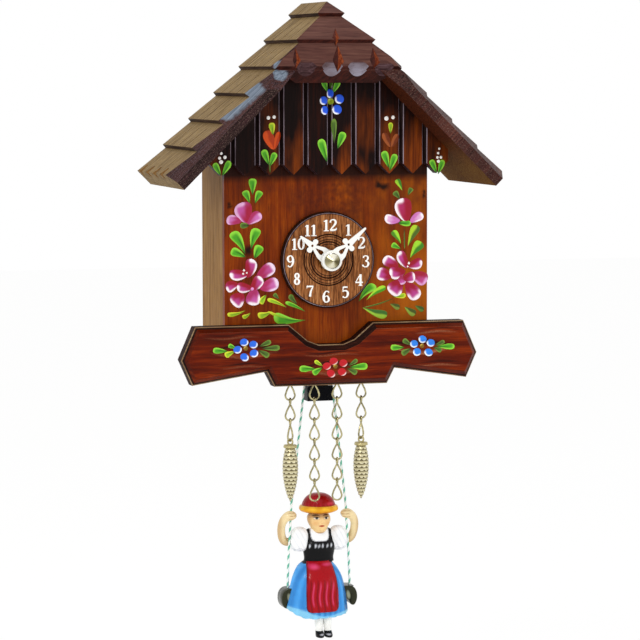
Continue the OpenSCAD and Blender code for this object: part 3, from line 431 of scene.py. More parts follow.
wood("panel_wood", "#4a1402 #762c02 #944404", UP, 800, 0.38, bump=0.4, over=panel_over, **VARNISH)
wood("house_wood", "#6c4818 #8c6430 #a0783c", UP, 1100, 0.5, bump=0.4, patch=0.25)
wood("eave_wood", "#3c240a #603e12 #7c5824", DOWN_SLOPE, 1100, 0.85, bump=0.4, patch=0.25, over=eave_over)
wood("back_wood", "#8a6a40 #a8854f #c09c64", UP, 900, 0.6, bump=0.4, patch=0.2)
wood("slat_wood", "#080202 #180806 #300e04", UP, 900, 0.35, coat=0.02, coat_rough=0.2, over=slat_over)
wood("slat_groove", "#080404 #180c0c #30201e", UP, 1800, 0.5, bump=0.6, patch=0.3, over=groove_gleam_over)
wood("slat_tip", "#140a08 #342024 #5c484c", UP, 1800, 0.5, bump=0.6, patch=0.3)
wood("shingle_left", "#544022 #7c643e #947c50", (0, SLOPE, 0), 900, 0.6, **SHINGLE)
wood("shingle_right", "#4c3418 #6c5030 #846844", (0, -SLOPE, 0), 900, 0.8, **SHINGLE)
wood("shingle_lip", "#1c0e08 #38241a #54402c", (0, 0, 90), 1200, 0.6, patch=0.2)
wood("bevel_wood", "#140808 #341a16 #4c2a22", DOWN_SLOPE, 1400, over=speckle_and_gleam_over, **SPECKLED)
wood("under_wood", "#140604 #30120e #4c1e14", DOWN_SLOPE, 900, coat=0.03, coat_rough=0.3, patch=0.4)
wood("brow_wood", "#0e0505 #241414 #382022", DOWN_SLOPE, 1400, over=brow_over, **SPECKLED)
wood("brow_right", "#1c0a08 #40201c #5c3228", DOWN_SLOPE, 1400, over=brow_over, **WORN)
wood("notch_wood", "#4c3018 #70502c #8c6c40", DOWN_SLOPE, 1400, 0.5, patch=0.3)
wood("hip_wood", "#2e1612 #50302a #644238", ALONG, 900, coat=0.04, coat_rough=0.3, bump=0.4)
# The hip's scallops as a lit copy with a painted highlight and a copy in painted shade
wood("hip_facet", "#34201e #5c4c50 #94909e", ALONG, 500, patch=0.85, **FACET)
wood("hip_facet_dark", "#200e10 #402a2c #5c4448", ALONG, 1500, patch=0.3, **FACET)
wood("hip_chip", "#380e04 #642810 #8c4420", UP, 1500, patch=0.3)
wood("board_wood", "#380a02 #5c1602 #862e04", ALONG, over=board_over, **BOARD)
wood("board_edge", "#300802 #501402 #702606", ALONG, **BOARD)
wood("board_rim", "#0c0302 #200c08 #38180c", ALONG, 1200, 0.6, bump=0.4, patch=0.3)
wood("worn_edge", "#5c4432 #84684c #a4906e", ALONG, 1600, 0.5, bump=0.4, patch=0.4)
wood("dial_wood", "#46240e #92582e #b67e4e", UP, 1500, 0.4, bump=0.4, patch=0.08, over=dial_over, **VARNISH)
wood("dial_ring", "#100604 #26120a #3c2014", UP, 1500, 0.4, bump=0.3, patch=0.2)
wood("dial_rim", "#48383c #74646c #a49ca8", UP, 1600, 0.4, bump=0.4, patch=0.4)


# Metals, mouldings and paint
def turned(name, dark, colour, light):
    """Turned metal with painted reflections: darker and lighter by the angle about the hands' axis."""
    t, b = new_mat(name)
    co = t.coords()
    s = t.xyz(co)
    pivot = to_row(0, 0, 0)
    a = t.math("ARCTAN2", t.sub(s[2], pivot.z), t.sub(s[0], pivot.x))
    double = t.math("SINE", t.add(t.mul(a, 2.0), -1.2))
    wave = t.add(double, t.mul(t.math("SINE", t.add(a, -0.5)), 0.5))
    wave = t.add(wave, t.mul(t.noise(co, 900.0, 2), 0.4))
    col = t.ramp(t.add(t.mul(wave, 0.33), 0.45), [(0.1, dark), (0.45, colour), (0.85, light)])
    surf(t, b, col, 0.22, None, 0, metallic=1.0, spec=0.5)


def plain(name, colour, rough, metallic=0.0, vary=0.12, scale=400.0, bump=0.15, dark=0.6):
    """A moulded or metal surface with faint mottling and an uneven skin."""
    t, b = new_mat(name)
    skin = t.noise(t.coords(), scale, 4, 0.6)
    col = t.mixc(t.span(skin, 0.35, 0.7, hi=vary), colour, tuple(c * dark for c in lin(colour)))
    r = t.span(skin, 0.3, 0.7, max(0.03, rough - 0.06), rough + 0.06)
    surf(t, b, col, r, skin, 0.00004, metallic=metallic, coat_rough=0.08, strength=bump)


def painted(name, rough, coat, metallic=0.0, bump=0.2, scale=900.0, spec=0.15):
    """Takes its colour from the mesh's own "paint" attribute, with faint brush streaks."""
    t, b = new_mat(name)
    at = t.n("ShaderNodeAttribute", attribute_name="paint").outputs["Color"]
    skin = t.noise(t.coords(), scale, 3, 0.6)
    dark = t.mixc(1.0, at, (0.62, 0.6, 0.62), "MULTIPLY")
    col = t.mixc(t.span(skin, 0.4, 0.75, hi=0.22), at, dark)
    surf(t, b, col, rough, skin, 0.00005, metallic, coat, coat_rough=0.06, strength=bump, spec=spec)


def coil_wire():
    t, b = new_mat("coil_wire")
    ins = {"Vector": t.coords(), "Scale": 900.0, "Distortion": 0.4}
    turns = t.n("ShaderNodeTexWave", ins, bands_direction="Z").outputs[1]
    col = t.ramp(turns, [(0.0, "#5a2410"), (1.0, "#c87838")])
    surf(t, b, col, 0.3, turns, 0.0001, metallic=0.8, coat=0.3)


def board_green():
    """A circuit board's green with its pads."""
    t, b = new_mat("board_green")
    ins = {"Vector": t.coords(), "Scale": 420.0}
    pads = t.n("ShaderNodeTexVoronoi", ins, distance="CHEBYCHEV").outputs["Distance"]
    f = t.span(pads, 0.2, 0.24, 1.0, 0.0)
    surf(t, b, t.mixc(f, "#1f5a2c", "#8c9a50"), 0.35, f, 0.00005, coat=0.4)


def cell_sleeve():
    """The cell's sleeve, copper at its positive end."""
    t, b = new_mat("cell_sleeve")
    co = t.coords()
    col = t.mixc(t.math("GREATER_THAN", t.xyz(co)[0], CELL_END_X), "#202326", "#b06a30")
    surf(t, b, col, 0.3, t.noise(co, 900.0, 2), 0.00003, metallic=0.6, coat=0.4)


plain("plain_brass", "#b8923c", 0.3, 1.0, vary=0.3)
plain("pale_brass", "#c4ba8c", 0.24, 1.0, vary=0.9, scale=500, dark=0.3)
turned("cap_brass", "#5c5438", "#a49c78", "#f4f0dc")
plain("hand_white", "#ecece8", 0.25, vary=0.05)
plain("case_black", "#1c1e20", 0.45, vary=0.3, scale=1500, bump=0.3)
plain("gear_white", "#d8d4c8", 0.4, vary=0.1)
plain("cell_steel", "#b9bcc0", 0.3, 1.0, vary=0.2)
plain("rocker_black", "#0a0a10", 0.3, vary=0.1)
painted("flower_paint", 0.35, 0.05)
painted("doll_paint", 0.22, 0.08, bump=0.08, scale=500, spec=0.1)
painted("cord_yarn", 0.8, 0.0, bump=0.6, scale=5000)
painted("cone_gold", 0.34, 0.0, metallic=0.55, bump=0.3, scale=1600)
coil_wire()
board_green()
cell_sleeve()


# Meshes
def make(name, verts, faces, mats, body="house", stands=(), slot=None, colours=None, face_mats=None):
    """A piece from points in the front frame, riding on a body; its slot is not used."""
    me = bpy.data.meshes.new(name)
    bm = bmesh.new()
    vs = [bm.verts.new(to_row(*v)) for v in verts]
    for i, f in enumerate(faces):
        face = bm.faces.new([vs[j] for j in f])
        face.smooth = True
        if face_mats:
            face.material_index = face_mats[i]
    bmesh.ops.recalc_face_normals(bm, faces=bm.faces)
    bm.to_mesh(me)
    bm.free()
    if colours:
        at = me.color_attributes.new("paint", "FLOAT_COLOR", "POINT")
        at.data.foreach_set("color", [v for c in colours for v in (*rgb(c)[:3], 1.0)])
    ob = bpy.data.objects.new(name, me)
    bpy.context.scene.collection.objects.link(ob)
    for m in mats.split():
        me.materials.append(MATERIALS[m])
    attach(ob, body)
    if stands:
        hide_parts(*stands)
    return ob


def grid_faces(rows, cols, closed=True, base=0):
    """Quads of a grid of rows by cols points, its rows closed rings or open lines."""
    faces = []
    for r in range(rows - 1):
        a, b = base + r * cols, base + (r + 1) * cols
        for c in range(cols if closed else cols - 1):
            d = (c + 1) % cols
            faces.append((a + c, a + d, b + d, b + c))
    return faces


class Lump:
    """Gathers several grids into one mesh; a colour is one, a list, or a function of point and ring."""

    def __init__(self):
        self.v, self.f, self.c = [], [], []

    def grid(self, rings, closed=True, caps=False, colour=None):
        base, cols = len(self.v), len(rings[0])
        for r, ring in enumerate(rings):
            self.v += ring
            if callable(colour):
                self.c += [colour(p, r) for p in ring]
            elif colour is not None and not isinstance(colour, list):
                self.c += [colour] * cols
        if isinstance(colour, list):
            self.c += colour
        self.f += grid_faces(len(rings), cols, closed, base)
        if caps:
            last = base + (len(rings) - 1) * cols
            self.f.append(tuple(range(base, base + cols))[::-1])
            self.f.append(tuple(range(last, last + cols)))

    def make(self, name, mats, **kw):
        return make(name, self.v, self.f, mats, colours=self.c or None, **kw)


def along(p, q, s):
    return tuple(a + (b - a) * s for a, b in zip(p, q))


def spline(pts, n):
    """Points of a Catmull-Rom curve, n to each step; the numbers in a point are all smoothed."""

    def between(a, b, c, d, s):
        square, cube = 2 * a - 5 * b + 4 * c - d, 3 * b - a - 3 * c + d
        return 0.5 * (2 * b + (c - a) * s + square * s * s + cube * s**3)

    out = []
    for i in range(len(pts) - 1):
        near = [pts[max(i - 1, 0)], pts[i], pts[i + 1], pts[min(i + 2, len(pts) - 1)]]
        out += [tuple(between(*four, k / n) for four in zip(*near)) for k in range(n)]
    out.append(tuple(pts[-1]))
    return out


def sweep(path, radius, sides, side=(0, 1, 0), closed=False, twist=0.0, lobe=None):
    """Rings round a path; radius and side may be lists. lobe(angle) scales the radius."""
    n = len(path)
    pts = [Vector(p) for p in path]
    rings = []
    for i, p in enumerate(pts):
        a = pts[(i - 1) % n] if closed else pts[max(i - 1, 0)]
        b = pts[(i + 1) % n] if closed else pts[min(i + 1, n - 1)]
        t = (b - a).normalized()
        s = Vector(side[i] if isinstance(side, list) else side)
        e1 = (s - t * s.dot(t)).normalized()
        e2 = t.cross(e1)
        r = radius[i] if isinstance(radius, list) else radius
        ring = []
        for an in circle(sides):
            q = r * (lobe(an) if lobe else 1)
            ring.append(tuple(p + q * (math.cos(an + twist * i) * e1 + math.sin(an + twist * i) * e2)))
        rings.append(ring)
    if closed:
        rings.append(rings[0])
    return rings


def dress(names, mats, pick=None, bevel=0.0):
    """Gives CAD nodes their materials, face by face where pick(centre, normal) is given."""
    for name in names.split():
        ob = nodes[name]
        ob.data.materials.clear()
        for m in mats.split():
            ob.data.materials.append(MATERIALS[m])
        for p in ob.data.polygons:
            p.material_index = pick(to_front(p.center), p.normal) if pick else 0
        if bevel:
            b = ob.modifiers.new("edge", "BEVEL")
            b.width, b.segments, b.limit_method, b.angle_limit = bevel * MM, 2, "ANGLE", math.radians(35)
            b.harden_normals = False


# House and roof
dress("front_panel", "panel_wood")
dress("side_wall_left side_wall_right floor_board", "house_wood")
dress("back_panel", "back_wood")


def pick_gable(c, n):
    """Faces of the slats, sides of the grooves, pointed tips."""
    if abs(n.y) > 0.9:
        return 0
    if n.z < -0.3:
        return 2
    return 1 if abs(n.x) > 0.3 and n.y < -0.3 else 0


dress("gable_board", "slat_wood slat_groove slat_tip", pick_gable)
SHINGLES, LIP, BEVEL, UNDER, EAVE, BROW, NOTCH = range(7)
NOTCH_FROM, EAVE_FROM = 58, 60


def pick_roof(side):
    ca, sa = cos_sin(SLOPE)
    out = Vector((side * sa, 0, ca))

    def pick(c, n):
        d = n.dot(out)
        if 0.6 < abs(n.y) < 0.8 and abs(c.x) > NOTCH_FROM:
            return NOTCH
        if n.y < -0.9:
            return BROW
        if n.y < -0.12:
            return BEVEL if d > 0.2 else UNDER
        if d < -0.85:
            return EAVE
        return SHINGLES if d > 0.85 or abs(c.x) > EAVE_FROM else LIP

    return pick


ROOF_MATS = "shingle_{} shingle_lip {} under_wood eave_wood {} notch_wood"
dress("roof_left", ROOF_MATS.format("left", "bevel_wood", "brow_wood"), pick_roof(-1))
dress("roof_right", ROOF_MATS.format("right", "brow_right", "brow_right"), pick_roof(1))
FACET_LEFT, FACET_RIGHT, FACET_TOP = -8, 14, 86


def pick_hip(c, n):
    """Upper side, scallops with a painted highlight, underside, scallops in painted shade."""
    if n.z < -0.3:
        return 2
    if n.y < -0.6 and abs(n.z) < 0.3 and c.z < FACET_TOP:
        return 1 if FACET_LEFT < c.x < FACET_RIGHT else 3
    return 0


dress("roof_hip", "hip_wood hip_facet under_wood hip_facet_dark", pick_hip)
roof = [bpy.data.objects[n] for n in ("roof_hip", "roof_left", "roof_right")]
# Cuts in the hip's shingles, in pixels: top, left, right and bottom corner
CUTS = (
    ((335.2, 28.5), (332.2, 38), (339.4, 38.5), (335.6, 46)),
    ((337.6, 45), (332.6, 60), (344, 61.5), (337.4, 72)),
    ((295.2, 48), (292.8, 60), (300.8, 60.5), (295.6, 69)),
    ((372.8, 47.5), (370, 60), (380.4, 62), (373.4, 69)),
)


def on_hip(px, py, lift):
    """The roof's point behind a pixel, lifted towards the camera."""
    ray, eye = ray_to(px, py).normalized(), to_row(*cam_mm)
    hits = [ob.ray_cast(eye, ray) for ob in roof]
    at = min((h[1] for h in hits if h[0]), key=lambda q: (q - eye).length)
    return tuple(to_front(at - ray * lift * MM))


def hip_cuts():
    """Each cut has its left half in shade and its right half lit."""
    chips, chip_mats, steps = Lump(), [], 4
    for top, left, right_corner, bottom in CUTS:
        mid = along(left, right_corner, 0.5)
        spine = [along(top, mid, k / steps) for k in range(steps + 1)]
        spine += [along(mid, bottom, k / steps) for k in range(1, steps + 1)]
        for corner, m in ((left, 0), (right_corner, 1)):
            rows = []
            for i, q in enumerate(spine):
                w = 1 - abs(i - steps) / steps
                outer = (q[0] + (corner[0] - mid[0]) * w, q[1] + (corner[1] - mid[1]) * w)
                half = along(q, outer, 0.5)
                rows.append([on_hip(*q, 0.3 + 0.25 * w), on_hip(*half, 0.22 + 0.1 * w), on_hip(*outer, 0.06)])
            before = len(chips.f)
            chips.grid(rows, closed=False)
            chip_mats += [m] * (len(chips.f) - before)
    chips.make("hip_cuts", "under_wood hip_chip", slot="hip_wood", face_mats=chip_mats)


hip_cuts()

# Hands, movement and drive
dress("bush_nut minute_arbor frame_screws", "plain_brass")
dress("hour_hand minute_hand", "hand_white", bevel=0.08)
dress("hand_nut", "cap_brass")
dress("movement_case movement_cover swing_frame", "case_black", bevel=0.15)
dress("setting_knob", "case_black")
dress("step_coil drive_coil", "coil_wire")
dress("circuit_board", "board_green")
dress("battery", "cell_sleeve")
dress("battery_contacts swing_pin drive_magnet", "cell_steel")
dress("hour_wheel setting_wheel", "gear_white")
dress("swing_rocker", "rocker_black", bevel=0.3)
dress("chain_staples", "pale_brass")

# Faces that the paint lies on; hollows are pixel x, y and half sizes, grooves x, z, half length and width
HOLLOWS_PX = ((244.7, 351.3, 14.5, 3.2), (332.5, 368.2, 14.0, 3.0), (423.5, 347.0, 12.5, 3.0))
HOLLOWS = [(*on_face(px, py, -BOARD_T), a, b) for px, py, a, b in HOLLOWS_PX]
GROOVES = (
    (-41, -28.6, 15, 0.7), (-42, -43.3, 12, 0.8), (-36, -40.2, 13, 0.6), (43, -28.4, 12, 0.8),
    (44, -41.6, 13, 0.9), (38, -44.3, 9, 0.6), (0, -36.4, 17, 0.6), (-8, -46.6, 13, 0.6),
    (30, -33.6, 9, 0.5), (-26, -33.5, 8, 0.5),
)
HOLLOW_DEPTH, GROOVE_DEPTH, GABLE_GROOVE = 0.75, 0.42, 1.1


def panel_y(x, z):
    return 0.0


def gable_y(x, z):
    d = abs((x / SLAT_W + 0.5) % 1 - 0.5) * SLAT_W
    return -GABLE_T + max(0.0, GABLE_GROOVE - d)


def board_y(x, z):
    """The base board's face with its carved hollows and grooves."""
    depth = 0.0
    for cx, cz, a, b in HOLLOWS:
        u = (x - cx) / a
        q = 1 - u**2 - ((z - cz) / (b * max(0.05, 1 - 0.55 * abs(u)))) ** 2
        depth = max(depth, HOLLOW_DEPTH * max(0.0, q) ** 0.7)
    for cx, cz, a, b in GROOVES:
        u = (x - cx) / a
        wave = cz + 0.35 * math.sin(x * 0.32)
        depth = max(depth, GROOVE_DEPTH * max(0.0, 1 - u * u) * math.exp(-(((z - wave) / b) ** 2)))
    return -BOARD_T + depth


# Brush strokes: a shade gives the colour at u across, v along, or at q in a round dab
def leaf_shade(light, mid, dark, lean=0.15):
    def shade(u, v, q):
        c = mix(mid, light, smooth(0.3, 0.95, abs(u + lean)))
        c = mix(c, light, smooth(0.8, 0.97, v))
        c = mix(c, dark, 0.75 * (1 - smooth(0.05, 0.4, abs(u - lean))) * smooth(0.85, 0.45, v))
        return mix(dark, c, smooth(0.0, 0.35, v))

    return shade


def half_shade(light, dark, flip=1):
    """A leaf painted in two strokes, light on its left half and dark on its right."""

    def shade(u, v, q):
        c = mix(light, dark, smooth(-0.25, 0.2, u * flip - 0.1 * math.sin(v * 9)))
        return mix(c, light, 0.5 * smooth(0.88, 0.98, abs(u)))

    return shade


def petal(angle, core="#96142a", mid="#b4428a", edge="#faeef4"):
    """White along the outline on the side that angle points to: 0 the tip, 90 the right-hand side."""
    ca, sa = cos_sin(angle)

    def shade(u, v, q):
        y = (v - 0.5) * 2
        side = u * sa + y * ca
        c = mix(core, mid, smooth(-0.35, 0.5, side + 0.12 * math.sin(7 * u + 3 * v)))
        return mix(c, edge, smooth(0.05, 0.4, side) * smooth(0.5, 0.78, max(abs(u), y)))

    return shade


def lit_shade(main, pale, ax, az):
    """Paler towards one side of the dab: ax, az point there."""
    return lambda u, v, q: mix(main, pale, smooth(0.1, 0.9, q[0] * ax + q[1] * az))


def rim_shade(main, pale, ax, az, lo, hi):
    """A pale crescent along the rim on the side that ax, az point to."""

    def shade(u, v, q):
        rim = smooth(0.5, 0.82, math.hypot(q[0], q[1]))
        return mix(main, pale, rim * smooth(lo, hi, q[0] * ax + q[1] * az))

    return shade


def flat_shade(c):
    """One colour all over."""
    return lambda u, v, q: c


# Millimetres to a pixel, how high strokes and dabs stand, how deep their rims are sunk, and their grid
PX, STROKE_H, DAB_H, FILM, SUNK, ROWS_V, COLS_U = 0.392, 0.16, 0.18, 0.03, 0.05, 18, 15
MIDDLE = (0, -30)


def dab(lump, stroke, shade, yf, shape, bow=0.0, lift=0.0):
    """A brush stroke (tip x, y, base x, y and width, in pixels) lying on the face yf."""
    y0 = yf(*MIDDLE)
    t, b = Vector(on_face(*stroke[:2], y0)), Vector(on_face(*stroke[2:4], y0))
    line, width = t - b, stroke[4] * PX
    side = Vector((line.y, -line.x)).normalized()
    rise, fall = shape

    def girth(v):
        return v**rise * math.sqrt(max(0.0, 1 - v**fall))

    peak = max(girth(k / 40) for k in range(1, 40))
    rings, cs = [], []
    for j in range(ROWS_V + 1):
        v = 1 - (1 - j / ROWS_V) ** 1.4
        hw = max(width / 2 * girth(v) / peak, SUNK)
        c = b + line * v + side * (bow * PX * math.sin(math.pi * v))
        ring = []
        for i in range(COLS_U):
            u = -1 + 2 * i / (COLS_U - 1)
            p = c + side * (hw * u)
            over = STROKE_H * min(1, hw / 0.5) * math.sqrt(max(0, 1 - u * u)) - FILM
            y = yf(p.x, p.y)
            ring.append((p.x, y + SUNK if abs(u) == 1 else y - over - lift, p.y))
            cs.append(shade(u, v, (u, v)))
        rings.append(ring)
    lump.grid(rings, closed=False, colour=cs)


def blob(lump, centre, rx, rz, shade, yf, angle=0.0, lift=0.0, h=DAB_H):
    """A round dab about a pixel; rx and rz are in pixels."""
    cx, cz = on_face(*centre, yf(*MIDDLE))
    ca, sa = cos_sin(angle)
    rings, cs, steps = [], [], 10
    for j in range(steps + 1):
        r = j / steps
        ring = []
        for a in circle(24):
            dx, dz = r * math.cos(a), r * math.sin(a)
            x = cx + (dx * rx * ca - dz * rz * sa) * PX
            z = cz + (dx * rx * sa + dz * rz * ca) * PX
            sunk = SUNK if j == steps else 0
            ring.append((x, yf(x, z) - (h + lift) * math.sqrt(1 - min(1, r * r)) + sunk, z))
            cs.append(shade(0, 0, (dx * ca - dz * sa, dx * sa + dz * ca)))
        rings.append(ring)
    lump.grid(rings, colour=cs)


GREEN_TONES = ("#8cd43c", "#489c20", "#1c5010")
GREEN, GREEN_L = leaf_shade(*GREEN_TONES), leaf_shade(*GREEN_TONES, -0.2)
DARKLEAF = leaf_shade("#6c8c34", "#466424", "#2a2c10")
LIME = leaf_shade("#d4dc34", "#8cb824", "#4c6c14")
TWO, TWO_G = half_shade("#a8cc2c", "#4c6420"), half_shade("#98d030", "#3c7c20")
OVERCAST, SUNNY = half_shade("#4c8420", "#9cd834"), half_shade("#a4d830", "#48941c")
BACKLIT, OLD_LEAF = half_shade("#9cc83c", "#3c6c28", -1), half_shade("#7c8c34", "#46501c", -1)
BROAD, FAR_LEAF = half_shade("#8ca83c", "#46541c", -1), half_shade("#5c7c30", "#3c5420", -1)
ORANGE, BROWN = half_shade("#d04c14", "#a8340a"), half_shade("#964c20", "#6c2c0c")
SOFT, LILAC, PALE = "#a82c5c", "#c870b4", "#e0acd4"
WHITE_DOT, PINK_DOT = flat_shade("#f6f4f0"), flat_shade("#dc90cc")
# How a stroke swells from its base and closes at its tip
LEAF, PETAL, TAIL, COMMA = (0.75, 6), (0.5, 4), (1.5, 6), (1.0, 7)
STUB, STALK, TWIG, SICKLE = (0.5, 4), (0.4, 4), (1.2, 6), (1.7, 6)

# Strokes in pixels: tip x, y, base x, y, width, then shade, form and bow
PANEL_LEAVES_LEFT = (
    (252.6, 178.4, 252.6, 195.6, 8.8, GREEN, COMMA, 0),
    (244.4, 190.6, 249.8, 204, 7.8, GREEN, COMMA, 0.6), (260.6, 191, 255, 204, 7.8, GREEN_L, COMMA, -0.6),
    (232, 232, 245.3, 254.6, 11.6, GREEN, COMMA, 1.6),
    (257.4, 228.4, 251, 249.4, 11, GREEN_L, COMMA, -1.0), (231, 250.6, 245.6, 257, 9.4, GREEN, LEAF, 0.4),
    (260.6, 245.6, 254.4, 258.6, 10.2, GREEN_L, LEAF, -0.4),
    (260.2, 303.6, 266.4, 294.8, 6.6, LIME, LEAF, 0.4), (227.2, 315, 248.4, 308.8, 5.0, LIME, TAIL, -1.6),
    (242.4, 317.6, 251, 312.4, 4.6, LIME, COMMA, -0.8), (257.8, 316, 274.4, 310, 7.2, LIME, TAIL, -1.2),
    (267.4, 299.2, 288, 308.2, 4.6, LIME, COMMA, 0.8),
    (273.8, 293.8, 279.6, 299.6, 4.6, DARKLEAF, COMMA, 0),
    (285.4, 302.2, 307, 312.6, 4.2, GREEN, COMMA, 0.8),
    (289.6, 294.8, 297.8, 304.6, 6.0, DARKLEAF, COMMA, -0.6),
    (267.6, 311.6, 312.6, 320, 3.0, LIME, TWIG, -3.4),
    (273.6, 316.8, 309.4, 319.4, 11.5, GREEN, SICKLE, -2.6),
    (240, 225.6, 249, 225.4, 6.4, DARKLEAF, STUB, 0),
)
PANEL_LEAVES_RIGHT = (
    (396.6, 179.2, 402.4, 191, 6.4, TWO_G, COMMA, 0.4),
    (394.2, 191.6, 400, 199.8, 6.6, DARKLEAF, COMMA, 0.4),
    (411.8, 188, 407.8, 195.8, 5.6, DARKLEAF, COMMA, -0.3),
    (392.6, 230.8, 401, 244, 7.4, OVERCAST, COMMA, 0.8),
    (417.4, 225.4, 407.8, 246.4, 10.4, TWO, COMMA, -0.8),
    (391.6, 244.4, 401.2, 249.4, 6.2, GREEN, COMMA, 0.4),
    (421.6, 242, 410, 258, 11.4, TWO_G, COMMA, -0.8), (405.8, 295.2, 392.4, 296.8, 5.6, LIME, COMMA, 0.3),
    (375.4, 285, 358.4, 302, 9.6, GREEN, COMMA, -2.2),
    (385.6, 286.8, 366, 300.6, 6.4, SUNNY, COMMA, -1.6),
    (387.2, 315.4, 362, 307.2, 9.4, BACKLIT, COMMA, 1.2),
    (399.6, 308, 390, 303.8, 6.4, OLD_LEAF, LEAF, 0), (415.4, 314.4, 404.6, 306.8, 8.0, BROAD, LEAF, 0.3),
    (423.6, 310.4, 415, 305.6, 6.0, FAR_LEAF, LEAF, 0), (411, 223.4, 398.6, 223, 6.4, GREEN, STUB, 0),
    (364, 307.4, 394, 298, 1.6, DARKLEAF, STALK, -1), (404.6, 249, 404.2, 228, 1.4, DARKLEAF, STALK, 0),
)
# Petals in pixels: tip x, y, base x, y, width, bow, then the angle of the white edge and the colours
PANEL_PETALS_LEFT = (
    (226.4, 220.4, 241.4, 221.6, 10.4, 1.0, 20, SOFT, LILAC, PALE),
    (242.4, 202.2, 247.6, 223, 19.4, -1.2, -55, "#a01c3c", "#bc549c", PALE),
    (261.2, 214, 247, 223.6, 11.4, -0.8, 50, SOFT, LILAC, PALE),
    (274.4, 265.6, 256.6, 277.6, 13.6, 0, 20, "#a02450", "#b44c8c", "#f0d8ec"),
    (278.4, 281.6, 259.6, 288.6, 13.6, 0.6, 25, SOFT, "#c464a8", "#f0d4ec"),
    (226.2, 289.2, 237.8, 283.8, 11.6, 0.8, -50), (233.6, 305.4, 243.6, 293.8, 15.8, 0.8, -25),
    (252, 305.4, 255, 288.6, 15.4, 0, -35, "#a42c60", "#c058a0"),
    (229.4, 274.4, 249.6, 272.8, 11.6, -1.4, -50), (251.4, 258.8, 247.4, 277.8, 12.6, 1.4, 45),
    (236.8, 286.2, 252.2, 288, 10.8, -1.0, -55), (261, 277, 250.8, 290, 12.2, 1.0, 35),
)
PANEL_PETALS_RIGHT = (
    (384.6, 217.4, 400, 220.8, 9.6, -0.8, 0, LILAC, PALE),
    (423.2, 214.6, 410, 222, 9.8, -0.8, 40, LILAC, PALE),
    (402.4, 198, 407, 221.8, 19, -1.0, -65, "#98142c", "#ac2c60"),
    (426.8, 281.4, 412.6, 273, 14.6, 0, 40, "#9c1c34", "#b44480", "#dc9cd0"),
    (383.2, 258.6, 398.4, 267.6, 11.8, 0.6, 25), (377, 272.6, 392, 276.6, 13.6, 0, -20),
    (391.6, 294.6, 401.4, 280.4, 17.4, 0.6, -15), (418, 298.8, 406, 281.8, 14.8, 0, 10),
    (402.4, 284.6, 400.4, 275, 9.6, 0, 10, "#9c2c50", "#bc509c", PALE),
    (389.2, 271.8, 405.4, 271.4, 13.6, -1.4, -40), (415, 276, 402.6, 278.4, 11.8, 0.8, 30),
    (399.6, 251.2, 408.4, 268, 11, -1.2, -50), (422, 261.4, 407.6, 265.6, 11.2, 1.0, 50),
)
# Dots in pixels: x, y, radius and shade
PANEL_DOTS = (
    (243.9, 270.4, 1.2, WHITE_DOT), (243, 273.8, 1.2, WHITE_DOT), (246.7, 272.8, 1.0, WHITE_DOT),
    (252.2, 288.8, 1.9, PINK_DOT), (408.7, 263.2, 1.4, WHITE_DOT), (407.4, 266.4, 1.1, WHITE_DOT),
)


def flowers_panel():
    """Two sprays with a bud and a rose each, left and right of the dial."""
    lump = Lump()
    for *stroke, shade, form, bow in PANEL_LEAVES_LEFT + PANEL_LEAVES_RIGHT:
        dab(lump, stroke, shade, panel_y, form, bow=bow)
    for k, row in enumerate(PANEL_PETALS_LEFT + PANEL_PETALS_RIGHT):
        dab(lump, row[:5], petal(*row[6:]), panel_y, PETAL, bow=row[5], lift=0.02 + 0.012 * (k % 13))
    for *centre, r, shade in PANEL_DOTS:
        blob(lump, centre, r, r, shade, panel_y, lift=0.3)
    lump.make("flowers_panel", "flower_paint")


flowers_panel()

# A blue flower, two tulips and two sprigs: petals are x, y and two radii
GABLE_PETALS = (
    (329.4, 93.6, 3.6, 4.4), (338.6, 99, 4.9, 4.8), (322.8, 100.6, 4.0, 4.4), (336.2, 109.6, 5.1, 4.9),
    (324, 110.3, 3.9, 4.5),
)
GABLE_HEART = (330.2, 101.4)
GABLE_STROKES = (
    (322.6, 80.4, 326.8, 92, 6.4, GREEN, LEAF), (338, 81, 332, 93, 6.6, GREEN, LEAF),
    (331, 79.4, 330, 89, 3.6, DARKLEAF, LEAF), (319.6, 139, 326.4, 162, 9.0, GREEN, LEAF),
    (343, 132, 336.8, 148.6, 8.4, GREEN, LEAF), (333.2, 118.6, 333.4, 144, 6.0, DARKLEAF, LEAF),
    (265.2, 130.6, 273, 149.6, 11.5, ORANGE, PETAL), (278.8, 131.6, 273.4, 149.4, 6.6, ORANGE, PETAL),
    (270.8, 122.6, 272.2, 135.4, 6.8, LIME, LEAF), (262.6, 149.6, 268.4, 165, 7.4, GREEN, LEAF),
    (274.6, 152.6, 269, 166.4, 6.8, GREEN, LEAF), (268.8, 163, 269.4, 173, 1.6, DARKLEAF, STALK),
    (382.8, 132.6, 389.6, 147, 7.6, BROWN, PETAL), (397, 134, 390.6, 147, 6.6, BROWN, PETAL),
    (389.9, 122.4, 389.7, 133.6, 5.2, LIME, LEAF), (382.8, 151, 388.2, 168, 8.0, GREEN, LEAF),
    (394.8, 154, 388.6, 171, 7.4, GREEN, LEAF), (213.6, 163, 220.2, 175.6, 6.4, GREEN, LEAF),
    (229.4, 161, 221.4, 175.6, 6.8, GREEN, LEAF), (430.2, 159.6, 435.8, 173, 6.4, GREEN, LEAF),
    (442.2, 159.8, 437.2, 174, 6.4, GREEN, LEAF),
)
GABLE_DOTS = (
    (267.6, 117.8, 1.9), (273.4, 117, 1.8), (385.6, 118.4, 2.3), (392.2, 117.4, 1.9), (221, 149.4, 1.3),
    (220.5, 153.3, 1.5), (218.8, 158, 1.6), (224.2, 157.2, 1.8), (220.4, 161.9, 2.1), (438.4, 148.6, 1.2),
    (437.3, 153, 1.3), (436.6, 157.3, 1.4), (440.1, 157.2, 1.5), (437.6, 161.2, 1.7),
)


